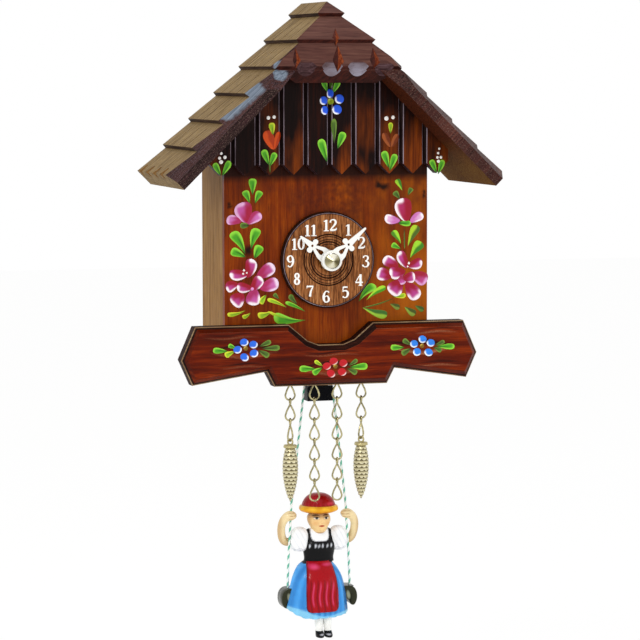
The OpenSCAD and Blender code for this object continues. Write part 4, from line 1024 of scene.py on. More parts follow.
def flowers_gable():
    lump = Lump()
    blue = rim_shade("#2458dc", "#f6f8ff", -0.75, -0.65, 0.1, 0.5)
    for *centre, rx, rz in GABLE_PETALS:
        blob(lump, centre, rx, rz, blue, gable_y, lift=0.08)
    blob(lump, GABLE_HEART, 3.0, 3.1, lit_shade("#8a9a1c", "#e8ee7a", -0.4, 0.8), gable_y, lift=0.18)
    for *stroke, shade, form in GABLE_STROKES:
        dab(lump, stroke, shade, gable_y, form)
    for *centre, r in GABLE_DOTS:
        blob(lump, centre, r, r, WHITE_DOT, gable_y)
    lump.make("flowers_gable", "flower_paint")


flowers_gable()

# Three flowers on the base board: shade, heart and petals, then leaves
BOARD_FLOWERS = (
    (rim_shade("#2c68dc", "#f4f8ff", 0.6, -0.7, -0.05, 0.4), (246.2, 348.6),
     ((244.2, 342.5), (253.6, 344.7), (254.4, 353.5), (244.7, 357.4), (238, 349.9))),
    (rim_shade("#bc1a24", "#fce4e0", 0.5, -0.6, 0.35, 0.7), (336, 366.6),
     ((333.8, 361.4), (343.6, 363.2), (327.3, 366.2), (331.2, 373.6), (342.3, 372))),
    (rim_shade("#3080e4", "#f0f8ff", -0.5, -0.8, -0.15, 0.35), (422.7, 346.1),
     ((422.6, 339.3), (431.1, 343), (428.8, 352.4), (417.3, 352), (414.4, 344))),
)
BOARD_LEAVES = (
    (213, 350.4, 228.4, 351.6, 6.4, GREEN), (228.4, 345.2, 236.6, 348.6, 4.6, GREEN),
    (225, 355.8, 235.4, 351.6, 6.0, LIME), (271, 341.4, 259, 346.6, 5.4, DARKLEAF),
    (280, 347.8, 262, 348.8, 6.2, DARKLEAF), (269, 356.2, 258.6, 350.4, 6.4, DARKLEAF),
    (299.4, 368.6, 316.4, 369.2, 6.8, GREEN), (314.6, 360.8, 323.4, 366.4, 4.2, LIME),
    (312.8, 373.6, 323, 367.8, 6.4, GREEN), (357.4, 359.6, 348.4, 366.2, 4.6, DARKLEAF),
    (367.6, 366, 350, 367.4, 7.4, GREEN), (357, 373.2, 347.6, 368.4, 6.0, DARKLEAF),
    (390.6, 347.4, 405, 347.6, 6.2, GREEN), (403, 339.6, 411.4, 345.2, 5.6, DARKLEAF),
    (401.6, 354, 411.6, 348.6, 6.2, DARKLEAF), (444.6, 341.2, 435, 345.8, 4.8, DARKLEAF),
    (454.6, 346.4, 437, 346.6, 6.4, GREEN), (441.6, 350.8, 434, 347.4, 5.2, DARKLEAF),
)


def flowers_board():
    lump = Lump()
    for shade, heart, petals in BOARD_FLOWERS:
        for c in petals:
            blob(lump, c, 4.5, 3.9, shade, board_y, angle=rnd.uniform(-30, 30), lift=0.06)
        blob(lump, heart, 2.4, 2.4, lit_shade("#7a5a14", "#d8b848", -0.5, 0.7), board_y, lift=0.16)
    for *stroke, shade in BOARD_LEAVES:
        dab(lump, stroke, shade, board_y, LEAF)
    lump.make("flowers_board", "flower_paint")


flowers_board()

# Numerals as ribbons: each line's points are x, z and width in parts of the height
GLYPHS = {
    "1": (((0.02, 0.05, 0.2), (0.02, 0.5, 0.2), (0.02, 0.95, 0.2)), ((-0.2, 0.04, 0.08), (0.24, 0.04, 0.08)),
          ((-0.2, 0.8, 0.07), (0.0, 0.92, 0.09))),
    "2": (((-0.22, 0.72, 0.16), (-0.2, 0.88, 0.12), (0.0, 0.96, 0.1), (0.2, 0.87, 0.17), (0.22, 0.66, 0.2),
           (0.06, 0.42, 0.15), (-0.2, 0.14, 0.1)),
          ((-0.27, 0.09, 0.16), (0.05, 0.09, 0.18), (0.26, 0.13, 0.12), (0.29, 0.27, 0.06))),
    "3": (((-0.22, 0.8, 0.15), (-0.12, 0.94, 0.1), (0.08, 0.95, 0.1), (0.2, 0.82, 0.18), (0.15, 0.63, 0.14),
           (-0.04, 0.53, 0.07)),
          ((-0.04, 0.53, 0.07), (0.17, 0.45, 0.13), (0.24, 0.27, 0.2), (0.12, 0.07, 0.12),
           (-0.08, 0.04, 0.09), (-0.22, 0.13, 0.13), (-0.24, 0.22, 0.16))),
    "4": (((0.12, 0.05, 0.2), (0.12, 0.98, 0.2)), ((0.1, 0.97, 0.08), (-0.3, 0.33, 0.07)),
          ((-0.33, 0.3, 0.11), (0.33, 0.3, 0.11)), ((-0.04, 0.04, 0.07), (0.28, 0.04, 0.07))),
    "5": (((-0.16, 0.91, 0.14), (0.2, 0.91, 0.14)), ((-0.18, 0.95, 0.08), (-0.2, 0.52, 0.08)),
          ((-0.2, 0.55, 0.07), (0.0, 0.62, 0.12), (0.2, 0.5, 0.18), (0.23, 0.3, 0.2), (0.12, 0.08, 0.13),
           (-0.08, 0.04, 0.1), (-0.22, 0.14, 0.15))),
    "6": (((0.22, 0.84, 0.14), (0.1, 0.95, 0.09), (-0.08, 0.9, 0.12), (-0.22, 0.62, 0.19), (-0.22, 0.32, 0.2),
           (-0.12, 0.08, 0.13), (0.02, 0.04, 0.1), (0.19, 0.14, 0.16), (0.22, 0.32, 0.18), (0.12, 0.52, 0.12),
           (-0.04, 0.54, 0.08), (-0.18, 0.42, 0.08)),),
    "7": (((-0.26, 0.9, 0.15), (0.28, 0.9, 0.14)), ((-0.26, 0.95, 0.07), (-0.27, 0.74, 0.05)),
          ((0.27, 0.88, 0.08), (0.08, 0.5, 0.15), (0.0, 0.05, 0.2))),
}
GLYPHS["9"] = [[(-x, 1 - z, w) for x, z, w in line] for line in GLYPHS["6"]]


def oval_glyph(cz, rx, rz, thick, thin):
    sines = [(math.sin(a), math.cos(a)) for a in (2 * math.pi * k / 16 for k in range(17))]
    return [(rx * s, cz + rz * c, thin + (thick - thin) * abs(s)) for s, c in sines]


GLYPHS["0"] = [oval_glyph(0.5, 0.22, 0.45, 0.2, 0.09)]
GLYPHS["8"] = [oval_glyph(0.74, 0.15, 0.2, 0.17, 0.1), oval_glyph(0.26, 0.18, 0.22, 0.19, 0.1)]
# Each word's centre on the dial, in pixels
WORDS = {
    "12": (329.5, 225.2), "1": (348.2, 229.8), "2": (361.2, 242.8), "3": (365.6, 261.3), "4": (359.1, 280),
    "5": (345.2, 292), "6": (326.3, 296.6), "7": (310.0, 291.2), "8": (297, 278.8), "9": (290.4, 261.4),
    "10": (297.8, 243.9), "11": (310.5, 230.3),
}
DIGIT_H, STEP, WIDE_STEP, WIDE_WORDS = 4.7, 0.56, 0.6, ("12", "10")
RIBBON = ((-1, -0.05), (-0.93, 0.1), (0, 0.14), (0.93, 0.1), (1, -0.05))


def ribbon(lump, pts, cx, cz):
    line = spline(pts, 4) if len(pts) > 2 else pts
    rings = []
    for i, (x, z, w) in enumerate(line):
        a, b = line[max(i - 1, 0)], line[min(i + 1, len(line) - 1)]
        t = Vector((b[0] - a[0], b[1] - a[1])).normalized()
        ring = []
        for u, rise in RIBBON:
            dx, dz = x - t.y * w * u / 2, z - 0.5 + t.x * w * u / 2
            ring.append((cx + DIGIT_H * dx, -DIAL_T - rise, cz + DIGIT_H * dz))
        rings.append(ring)
    lump.grid(rings, closed=False, colour="#fbfaf6")


def dial_numerals():
    lump = Lump()
    for word, pixel in WORDS.items():
        cx, cz = on_face(*pixel, -DIAL_T)
        step = WIDE_STEP if word in WIDE_WORDS else STEP
        for k, digit in enumerate(word):
            for line in GLYPHS[digit]:
                ribbon(lump, line, cx + (k - (len(word) - 1) / 2) * step * DIGIT_H, cz)
    lump.make("dial_numerals", "flower_paint")


dial_numerals()

# Dial turned with three fine rings, its rim with a pale painted highlight: radius and height above the panel
HUB_R, BUSH_R = 4.05, 3.3
DIAL_PROFILE = (
    (BUSH_R + 0.15, 0.02), (18.95, 0.02), (19, 0.3), (19, 1.8), (18.8, 2.1), (18.45, 2.45), (18.2, 2.62),
    (17.95, DIAL_T), (17.2, DIAL_T), (14, DIAL_T), (11.6, DIAL_T), (10.45, DIAL_T), (10.25, 2.7),
    (10.1, 2.45), (9.95, 2.3), (9.75, 2.42), (9.6, 2.68), (9.35, 2.72), (9.2, 2.6), (9.05, 2.72),
    (8.2, 2.72), (8.05, 2.6), (7.9, 2.7), (7.55, 2.62), (7.35, 2.3), (7.2, 2.2), (7.0, 2.32), (6.85, 2.5),
    (6.35, 2.56), (6.2, 2.46), (6.05, 2.56), (5.4, 2.56), (4.7, 2.55), (4.3, 2.3), (HUB_R + 0.12, 2.2),
    (BUSH_R + 0.15, 2.2),
)
RINGS, RING_HALF, RIM_STEP, WALL_STEPS = (10.05, 9.2, 8.05, 7.15, 6.2), 0.25, 5, (1, 2, 3, 4, 6)


def dial_mat(k):
    """Wood, dark rings and outer wall, rim with a painted highlight."""
    mid = (DIAL_PROFILE[k][0] + DIAL_PROFILE[k + 1][0]) / 2
    if k == RIM_STEP:
        return 2
    return 1 if k in WALL_STEPS or any(abs(mid - r) < RING_HALF for r in RINGS) else 0


def dial_face():
    lump, cols = Lump(), 128
    lump.grid([[(r * math.cos(a), -y, r * math.sin(a)) for a in circle(cols)] for r, y in DIAL_PROFILE])
    face_mats = [dial_mat(i // cols) for i in range(len(lump.f))]
    mats = "dial_wood dial_ring dial_rim"
    lump.make("dial_face", mats, stands=("dial",), slot="dial_wood", face_mats=face_mats)


dial_face()

# Base board, carved: half of its outline, below and above, from the middle to the wing's tip
FACE_INSET, EDGE_Y, WING_X = 2.2, -5.6, 60.4
HALF_BOTTOM = [(0, -49), (23, -49), (26.1, -43), (56, -47.6), (WING_X, -37.7)]
HALF_TOP = [(0, -33), (5, -33), (9.6, -31.2), (17.2, -24.8), (54.8, -24.8), (WING_X, -37.7)]
EDGE_STEPS, CARVED_ROWS, NOTCH_X = (0, 0.16, 0.45, 0.9), 44, 17.3
FACE_ROW = 1 + len(EDGE_STEPS)
TOP_ROW = FACE_ROW + CARVED_ROWS


def inset(points, d):
    out = []
    for i, p in enumerate(points):
        a = (Vector(p) - Vector(points[i - 1])).normalized()
        b = (Vector(points[(i + 1) % len(points)]) - Vector(p)).normalized()
        na, nb = Vector((-a.y, a.x)), Vector((-b.y, b.x))
        out.append(tuple(Vector(p) + d * (na + nb) / (1 + na.dot(nb))))
    return out


def face_points():
    """The front face's corner for each corner of the outline."""
    loop = HALF_BOTTOM[1:] + HALF_TOP[-2::-1]
    loop += [(-x, z) for x, z in reversed(loop[:-1])]
    face_of = dict(zip(loop, inset(loop, FACE_INSET)))
    face_of[HALF_BOTTOM[0]] = (0, HALF_BOTTOM[0][1] + FACE_INSET)
    return face_of


def both_wings(corners, face_of, xs):
    """Pairs of outline and face points at each x, on both wings."""
    pairs = []
    for x in xs:
        for a, b in zip(corners, corners[1:]):
            if a[0] - 1e-9 <= x <= b[0] + 1e-9:
                s = (x - a[0]) / (b[0] - a[0]) if abs(b[0] - a[0]) > 1e-9 else 0
                pairs.append((along(a, b, s), along(face_of[a], face_of[b], s)))
                break
    return [((-a[0], a[1]), (-b[0], b[1])) for a, b in reversed(pairs[1:])] + pairs


def board_edge(a, b, t):
    """A point t of the way up the bevel, from the outline's point to the face's."""
    x, z = along(a, b, t)
    return x, EDGE_Y - (BOARD_T + EDGE_Y) * t, z


def base_board_carved():
    """Columns of points across the board: back, bottom edge, face and top edge."""
    face_of = face_points()
    xs = sorted({round(WING_X * k / 100, 4) for k in range(101)} | {c[0] for c in HALF_BOTTOM + HALF_TOP})
    low, high = both_wings(HALF_BOTTOM, face_of, xs), both_wings(HALF_TOP, face_of, xs)
    lump, columns = Lump(), []
    for (lo, face_lo), (hi, face_hi) in zip(low, high):
        col = [(lo[0], 0, lo[1])] + [board_edge(lo, face_lo, t) for t in EDGE_STEPS]
        col.append((face_lo[0], -BOARD_T, face_lo[1]))
        for k in range(1, CARVED_ROWS):
            x, z = along(face_lo, face_hi, k / CARVED_ROWS)
            col.append((x, board_y(x, z), z))
        col.append((face_hi[0], -BOARD_T, face_hi[1]))
        col += [board_edge(hi, face_hi, t) for t in EDGE_STEPS[::-1]] + [(hi[0], 0, hi[1])]
        columns.append(col)
    lump.grid(columns)
    per = len(columns[0])

    def board_mat(i):
        """Tan along the outer edge, then a dark line; dark bevels only in the notch on top."""
        row, k = i % per, i // per
        cut_in = abs(high[min(k, len(high) - 1)][0][0]) < NOTCH_X
        if FACE_ROW <= row < TOP_ROW:
            return 0
        if row in (1, TOP_ROW + 3):
            return 2
        bevel_above = row in (TOP_ROW, TOP_ROW + 1) and not cut_in
        return 3 if row in (FACE_ROW - 2, FACE_ROW - 1) or bevel_above else 1

    face_mats = [board_mat(i) for i in range(len(lump.f))]
    mats = "board_wood board_rim worn_edge board_edge"
    ob = lump.make("base_board_carved", mats, stands=("base_board",), slot="board_wood", face_mats=face_mats)
    for p in ob.data.polygons:
        p.use_smooth = p.material_index == 0


base_board_carved()

# Chains of twisted wire links: half a link's outline as distance from its middle and height
WIRE_R, PITCH_L, RING_R, EYE_R = 0.35, 8.1, 1.95, 0.9
STAPLE_Z, CHAIN_Y = -42 - 5.3, 1.8
LINK_H = PITCH_L + 2 * WIRE_R + 0.05
NECK_Z = LINK_H - 2 * EYE_R
RISE = (
    [(RING_R * c, RING_R * (1 + s)) for c, s in map(cos_sin, (-90, -60, -30, 0, 32))]
    + [(1.42, 3.75), (0.92, 4.7), (WIRE_R + 0.1, NECK_Z - 1.35), (WIRE_R + 0.08, NECK_Z - 0.3)]
    + [(EYE_R * c, LINK_H - EYE_R * (1 - s)) for c, s in map(cos_sin, (-35, 10, 50, 90))]
)
OUTER_X, INNER_X, OUTER_LINKS, INNER_LINKS = 14.6, 4.65, 3, 6


def link(lump, x, z, turn, twist):
    """One link, its eye turned by twist against its ring."""

    def point(p, side):
        a = math.radians(twist * min(1, max(0, (p[1] - (NECK_Z - 1.5)) / 1.2)) + turn)
        ca, sa = math.cos(a), math.sin(a)
        return x + side * p[0] * ca, CHAIN_Y + side * p[0] * sa, z + p[1], -sa, ca, 0

    loop = [point(p, 1) for p in RISE] + [point(p, -1) for p in RISE[-2:0:-1]]
    fine = spline(loop[-1:] + loop + loop[:2], 3)[3:-6]
    lump.grid(sweep([f[:3] for f in fine], WIRE_R, 10, [f[3:] for f in fine], closed=True))


def chain(name, x, count, weighted, body):
    lump = Lump()
    for i in range(1, count + 1):
        last = weighted and i == count
        link(lump, x, STAPLE_Z - i * PITCH_L, 45 if last else 0, 45 if last else 90)
    lump.make(name + "_links", "pale_brass", body=body, stands=(name,), slot="pale_brass")


chain("chain_outer_left", -OUTER_X, OUTER_LINKS, True, "chain_ol")
chain("chain_inner_left", -INNER_X, INNER_LINKS, False, "chain_il")
chain("chain_inner_right", INNER_X, INNER_LINKS, False, "chain_ir")
chain("chain_outer_right", OUTER_X, OUTER_LINKS, True, "chain_or")

# Cone weights with rows of scales, a collar (radius and height) and an eye
CONE_EYE_R = 1.1
EYE_Z = STAPLE_Z - 3 * PITCH_L + 0.75 - CONE_EYE_R
CONE_TOP = EYE_Z - 1.05 - 1.3
CONE_L, CONE_R, SCALE_ROWS, SCALES_ROUND, SCALE_DEPTH = 21.3, 3.25, 15, 9, 0.42
GOLD, GOLD_DARK, GOLD_PALE = "#bcb080", "#443410", "#e8e2c4"
COLLAR = (
    (0.4, 0.02), (2.45, 0.0), (2.75, 0.3), (2.75, 0.55), (2.5, 0.72), (2.62, 0.85), (2.62, 1.05),
    (2.35, 1.28), (0.4, 1.3),
)


def cone(name, x, body, seed):
    lump, steps = Lump(), SCALE_ROWS * 9
    rings, cs = [], []
    for j in range(steps + 1):
        t = j / steps
        girth = CONE_R * math.sin(math.pi * (0.12 + 0.88 * t) ** 0.85) ** 0.62 if t < 1 else 0.3
        row = min(int(t * SCALE_ROWS), SCALE_ROWS - 1)
        f = t * SCALE_ROWS - row
        ring = []
        for a in circle(96):
            wander = 0.5 * (row % 2) + 0.13 * seed + 0.09 * math.sin(5 * t + 2 * a)
            g = ((a / (2 * math.pi) * SCALES_ROUND + wander) % 1) * 2 - 1
            edge = 1 - 0.42 * abs(g) ** 1.7
            rise = (0.2 + 0.8 * (f / edge) ** 1.3 if f < edge else 0.0) * (1 - 0.35 * abs(g) ** 3)
            r = max(0.3, girth - SCALE_DEPTH * (1 - rise))
            droop = (0.25 if f < edge else 0) * rise * (t < 0.97)
            ring.append((x + r * math.cos(a), CHAIN_Y + r * math.sin(a), CONE_TOP - CONE_L * t - droop))
            cs.append(mix(GOLD_DARK, mix(GOLD, GOLD_PALE, rise * 0.8), smooth(0.12, 0.5, rise)))
        rings.append(ring)
    lump.grid(rings, caps=True, colour=cs)

    def collar_ring(r, h):
        return [(x + r * math.cos(a), CHAIN_Y + r * math.sin(a), CONE_TOP + h) for a in circle(40)]

    lump.grid([collar_ring(r, h) for r, h in COLLAR], colour=GOLD)
    c, s = cos_sin(-45)
    eye = [(CONE_EYE_R * math.cos(a), CONE_EYE_R * math.sin(a)) for a in circle(28)]
    path = [(x + across * c, CHAIN_Y + across * s, EYE_Z + z) for across, z in eye]
    lump.grid(sweep(path, WIRE_R, 10, (-s, c, 0), closed=True), colour=GOLD)
    lump.make(name + "_scaled", "cone_gold", body=body, stands=(name,), slot="cone_gold")


cone("cone_weight_left", -OUTER_X, "chain_ol", 0)
cone("cone_weight_right", OUTER_X, "chain_or", 1)

# Swing cords: two white strands and a green one, from the rocker through the hands to the seat
SW_Y = 12.4
ROUTE = (
    (5.15, -44.3), (5.2, -46.5), (5.75, -51), (8.55, -75), (11.35, -99), (11.5, -103), (11.75, -107),
    (12.5, -119), (12.9, -130), (12.9, -132.4),
)
CORD_R, LAY, CORD_L, CORD_STEP, CORD_SIDES = 0.47, 3.7, 0.0885, 0.22, 15
YARN_W, YARN_G, GREEN_FROM, GREEN_SHARE = "#f2f6f2", "#6cbca0", 1 / 6, 0.44


def cord(name, side):
    pts = []
    for a, b in zip(ROUTE, ROUTE[1:]):
        n = max(1, round(math.dist(a, b) / CORD_STEP))
        pts += [along(a, b, k / n) for k in range(n)]
    pts = [(side * x, SW_Y, z) for x, z in pts + [ROUTE[-1]]]
    yarns = [YARN_G if (i / CORD_SIDES + GREEN_FROM) % 1 < GREEN_SHARE else YARN_W for i in range(CORD_SIDES)]
    turn = 2 * math.pi * CORD_STEP / LAY
    rings = sweep(pts, CORD_R, CORD_SIDES, twist=turn, lobe=lambda a: 0.84 + 0.16 * abs(math.cos(1.5 * a)))
    lump = Lump()
    lump.grid(rings, caps=True, colour=yarns * len(rings))
    ob = lump.make(name + "_twisted", "cord_yarn", body="swing", stands=(name,), slot="cord_weave")
    route = [to_row(*q) for q in pts]
    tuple(route[0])


cord("swing_cord_left", -1)
cord("swing_cord_right", 1)

# Swing seat: its outline, then each layer's size and place across
SEAT = [
    (-12, -131.9), (11.4, -131.9), (13.3, -132.3), (14.5, -133.6), (15.1, -135.6), (14.9, -138),
    (13.9, -139.7), (12.7, -139.6), (12, -138.4), (11.6, -136.9), (11, -135.6), (10, -134.8),
    (8.4, -134.4), (-8.4, -134.4), (-10.6, -134.8), (-11.8, -135.6), (-12.4, -136.9), (-12.9, -138.4),
    (-13.7, -139.6), (-15, -139.7), (-16, -138), (-16.2, -135.6), (-15.6, -133.6), (-14.2, -132.3),
]
SEAT_LAYERS, SEAT_MID = ((0.97, -4), (0.99, -3.85), (1, -3.4), (1, 3.4), (0.97, 4)), -135.6
OLIVE, OLIVE_LIT = "#2a2c1c", "#8c9078"
SEAT_GLEAMS = (((289.6, 598), 3.0, 6.2), ((348.4, 594.5), 2.6, 6.0))


def swing_seat():
    lump = Lump()
    outline = spline(SEAT + SEAT[:1], 3)[:-1]
    layers = [[(x * k, SW_Y + y, SEAT_MID + (z - SEAT_MID) * k) for x, z in outline] for k, y in SEAT_LAYERS]
    lump.grid(layers, caps=True, colour=OLIVE)

    def gleam(u, v, q):
        return mix(OLIVE_LIT, OLIVE, smooth(0.35, 1.0, math.hypot(*q)))

    for centre, rx, rz in SEAT_GLEAMS:
        blob(lump, centre, rx, rz, gleam, lambda x, z: SW_Y - 4, angle=12, h=0.02)
    lump.make("swing_seat_scrolled", "doll_paint", body="swing", stands=("swing_seat",), slot="seat_paint")


swing_seat()


# Doll
def wear(lump, name, node, slot):
    """A painted piece of the doll in the place of its node."""
    return lump.make(name, "doll_paint", body="swing", stands=(node,), slot=slot)


def loft(lump, rings, n, step, cx=0.0, shift=None, colour=None):
    """Smooth loft through (y, half width, half depth, z) rings; angle 0 faces the front."""
    fine = spline(rings, step)
    out = []
    for j, (cy, rx, ry, z) in enumerate(fine):
        rx, ry = max(rx, 0.02), max(ry, 0.02)
        ring = []
        for a in circle(n):
            p = (cx + rx * math.sin(a), SW_Y + cy - ry * math.cos(a), z)
            ring.append(shift(p, a, j / (len(fine) - 1), (cx, SW_Y + cy)) if shift else p)
        out.append(ring)
    lump.grid(out, caps=True, colour=colour)


def lofted(name, node, slot, rings, n, step, **kw):
    """A piece of the doll that is one loft."""
    lump = Lump()
    loft(lump, rings, n, step, **kw)
    wear(lump, name, node, slot)


def push(p, c, amount):
    """p moved away from c in plan."""
    d = Vector((p[0] - c[0], p[1] - c[1]))
    d = d.normalized() * amount if d.length > 1e-6 else d
    return (p[0] + d.x, p[1] + d.y, p[2])


def spot(x, z, cx, cz, rx, rz, edge):
    """1 inside an oval about cx, cz, 0 outside, with a soft edge."""
    q = math.hypot((x - cx) / rx, (z - cz) / rz)
    return 1 - smooth(1 - edge, 1 + edge, q)


# Hat: red ribbed crown (radius, height) over an orange, waved brim (radius, height, wave)
CROWN, CROWN_LIT, BRIM, BRIM_LIT, BRIM_SHADE = "#94080a", "#d4384c", "#d88c10", "#f4bc34", "#8c2a0c"
CROWN_ROWS = [
    (0.05, -94.2), (2.2, -94.4), (3.7, -94.95), (4.9, -95.75), (5.8, -96.8), (6.45, -98.0), (6.8, -99.0),
]
BRIM_ROWS = (
    (6.95, -99.2, 0.02), (7.35, -99.35, 0.06), (7.7, -99.7, 0.12), (7.88, -100.2, 0.15), (7.85, -100.7, 0.15),
    (7.4, -101.3, 0.1), (6.6, -101.75, 0.05), (5.6, -102.0, 0.0), (4.8, -102.1, 0), (4.0, -102.15, 0),
    (3.0, -102.2, 0), (0.05, -102.2, 0),
)
HAT_SIDES, RIBS, RIB_H, WAVES = 96, 24, 0.16, 9


def hat_ring(r, z, rib, wave):
    out = []
    for a in circle(HAT_SIDES):
        q = r - rib * (0.5 + 0.5 * math.cos(RIBS * a))
        height = z + wave * math.sin(WAVES * a + 0.6) + 0.4 * wave * math.sin(14 * a)
        out.append((q * math.sin(a), SW_Y - q * math.cos(a), height))
    return out


def doll_hat():
    rings, cs = [], []
    # The crown's lit spots and ribs and the brim's lit waves are painted highlights; the brim's underside is
    # painted shade
    for r, z in spline(CROWN_ROWS, 4):
        share = smooth(-97.2, -98.2, z)
        rings.append(hat_ring(r, z, RIB_H * share, 0))
        for a in circle(HAT_SIDES):
            x = math.sin(a) * r
            lit = 0.35 * spot(x, z, -2.6, -96.4, 1.8, 1.0, 0.8) + 0.6 * spot(x, z, 3.4, -98.0, 1.6, 0.5, 0.6)
            cs.append(mix(CROWN, CROWN_LIT, lit + 0.2 * share * (0.5 - 0.5 * math.cos(RIBS * a))))
    for r, z, wave in BRIM_ROWS:
        rings.append(hat_ring(r, z, 0, wave))
        for a in circle(HAT_SIDES):
            lit = (0.35 + 0.65 * (0.5 + 0.5 * math.sin(WAVES * a + 0.6))) * smooth(-101.8, -100.2, z)
            cs.append(mix(mix(BRIM, BRIM_SHADE, smooth(-101.4, -102, z)), BRIM_LIT, lit))
    lump = Lump()
    lump.grid(rings, caps=True, colour=cs)
    wear(lump, "doll_hat_painted", "doll_hat", "hat_red")


doll_hat()

# Head: bumps on the face's front (height, x, z, half width, half height, also mirrored), then its paint
SKIN, SKIN_RED, SKIN_DARK, HAIR, LIP, DARK = "#f0cc90", "#dc9c60", "#a87440", "#4c2c14", "#b43418", "#20140e"
BUMPS = (
    (0.45, 0, -105.6, 0.45, 0.42), (0.25, 0, -104.7, 0.38, 0.8), (0.18, 0, -107.0, 0.8, 0.28),
    (0.2, 0, -108.7, 1.1, 0.5), (-0.25, 2.0, -103.9, 0.9, 0.5), (-0.25, -2.0, -103.9, 0.9, 0.5),
    (0.12, 2.4, -106, 1, 0.9), (0.12, -2.4, -106, 1, 0.9),
)
# Paint on the face: colour and amount, then its place x, z, its half sizes and how soft its rim is
CHEEK, BROW_X, BROW_Z, BROW_ARCH = (2.5, -106, 1.2, 0.9, 0.9), 2.1, -102.75, 0.14
EYE_PAINT = (
    (SKIN_DARK, 0.45, 2.0, -103.7, 1.5, 0.8, 0.6), ("#f8f0e0", 0.8, 2.05, -104.0, 1.05, 0.4, 0.3),
    (DARK, 1.0, 1.95, -103.95, 0.55, 0.45, 0.25), (DARK, 0.9, 2.1, -103.55, 1.15, 0.2, 0.4),
)
MOUTH_PAINT = (
    (SKIN_RED, 0.7, 0, -106.0, 0.5, 0.14, 0.5), (LIP, 1.0, 0, -107.05, 1.15, 0.36, 0.25),
    ("#701008", 0.8, 0, -107.05, 1.0, 0.1, 0.5),
)
HEAD = [
    (0.3, 1.9, 2.1, -110.6), (0, 2.7, 3.2, -110.1), (-0.3, 3.5, 3.9, -109), (-0.4, 4.2, 4.5, -107.4),
    (-0.3, 4.65, 4.9, -105.4), (0, 4.6, 4.9, -103.8), (0, 3.9, 3.9, -102.6), (0, 3.6, 3.6, -102.2),
]


def face_shift(p, a, t, c):
    x, z = p[0], p[2]
    out = sum(h * math.exp(-(((x - cx) / rx) ** 2) - ((z - cz) / rz) ** 2) for h, cx, cz, rx, rz in BUMPS)
    return (x * (1 - 0.16 * smooth(-105.2, -109, z)), p[1] - out * max(0.0, math.cos(a)), z)


def face_colour(p, r):
    """Cheeks, eyes under brows, mouth, painted shade at the sides, under the hat's brim and under the chin,
    and hair behind.
    """
    x, y, z = p[0], p[1] - SW_Y, p[2]
    c = SKIN
    if y < 0:
        c = mix(c, SKIN_RED, 0.5 * spot(abs(x), z, *CHEEK))
        brow_z = BROW_Z - BROW_ARCH * (abs(x) - 1.9) ** 2
        for side in (-1, 1):
            for colour, amount, cx, *place in EYE_PAINT:
                c = mix(c, colour, amount * spot(x, z, side * cx, *place))
            c = mix(c, "#3c1c0c", 0.95 * spot(x, z, side * BROW_X, brow_z, 1.35, 0.26, 0.4))
        for colour, amount, *place in MOUTH_PAINT:
            c = mix(c, colour, amount * spot(x, z, *place))
        # painted shade at the sides, under the hat's brim and under the chin
        c = mix(c, "#a87844", 0.55 * smooth(3.4, 4.5, abs(x)))
        c = mix(c, SKIN_DARK, 0.35 * smooth(-103.0, -102.3, z))
        c = mix(c, "#9c6440", 0.6 * smooth(-109.3, -110.1, z))
    hair = smooth(0.6, 1.4, y + 0.25 * (z + 106) + 0.15 * math.sin(z * 9)) * smooth(-110.0, -109.2, z)
    return mix(c, HAIR, hair)


lofted("doll_head_painted", "doll_head", "skin", HEAD, 168, 9, shift=face_shift, colour=face_colour)

# Bodice over a white blouse, with painted highlights across its front
BLACK, BLOUSE, BODICE_GLINT = "#060608", "#f4f6f8", "#dce0e8"
GLINTS_X, GLINTS_Z = (-4.7, -2.5, -1.1, 0.4, 2.4, 4.2), -115.2
TORSO = [
    (0, 6.2, 4.0, -121.8), (0, 6.05, 3.8, -120.2), (-0.2, 6.4, 3.9, -118), (-0.5, 6.8, 4.3, -115.5),
    (-0.2, 6.6, 3.7, -113.2), (0.1, 6.2, 3.0, -111), (0.2, 5.7, 2.6, -109.6), (0.3, 4.4, 2.2, -108.7),
    (0.3, 2.0, 1.8, -108.4),
]


def torso_colour(p, r):
    x, y, z = p[0], p[1] - SW_Y, p[2]
    c = BLACK
    # painted highlights: a row of pale dashes across the bodice's front
    for k, cx in enumerate(GLINTS_X if y < 0 else ()):
        odd = 0.1 * (k % 2)
        c = mix(c, BODICE_GLINT, 0.8 * spot(x, z, cx + 0.1 * (z - GLINTS_Z), GLINTS_Z + odd, 0.26 + odd, 0.75, 0.5))
    depth = abs((x + 0.2) / 3.75) ** 4 + (max(0.0, -109.5 - z) / 3.9) ** 4
    neckline = 1 - smooth(0.9, 1.1, depth)
    if y < 1.0:
        c = mix(c, BLOUSE, neckline)
        c = mix(c, "#8c909c", 0.5 * neckline * smooth(0.6, 0.9, depth))
    return mix(c, BLOUSE, smooth(5.9, 6.1, abs(x)) * smooth(-115.5, -114.8, z))


lofted("doll_torso_painted", "doll_torso", "bodice_black", TORSO, 96, 7, colour=torso_colour)

# Puffed sleeves, and arms (x, y, z, radius) that hold the cords
SLEEVE = [
    (0, 1.9, 1.8, -117.4), (0, 3, 2.85, -116.6), (0, 3.6, 3.4, -115), (0, 3.7, 3.5, -112.6),
    (0, 3.3, 3.1, -110), (0, 2.2, 2.1, -108.4), (0, 1.2, 1.1, -107.9),
]
ARM_PATH = [
    (10.4, 2.2, -113.4, 1.5), (12.8, 2.4, -114, 1.6), (14.4, 2, -112.6, 1.65), (15.2, 1.2, -109.6, 1.6),
    (15.1, 0.5, -106.6, 1.6), (14, 0.1, -104.3, 1.75), (12, 0, -103.1, 2), (10.4, 0, -103.4, 1.7),
    (9.6, 0, -103.8, 0.9),
]
ARM, ARM_SHADE, SLEEVE_X, FINGERS_X = "#eed8a8", "#a87c48", 8, 12.8


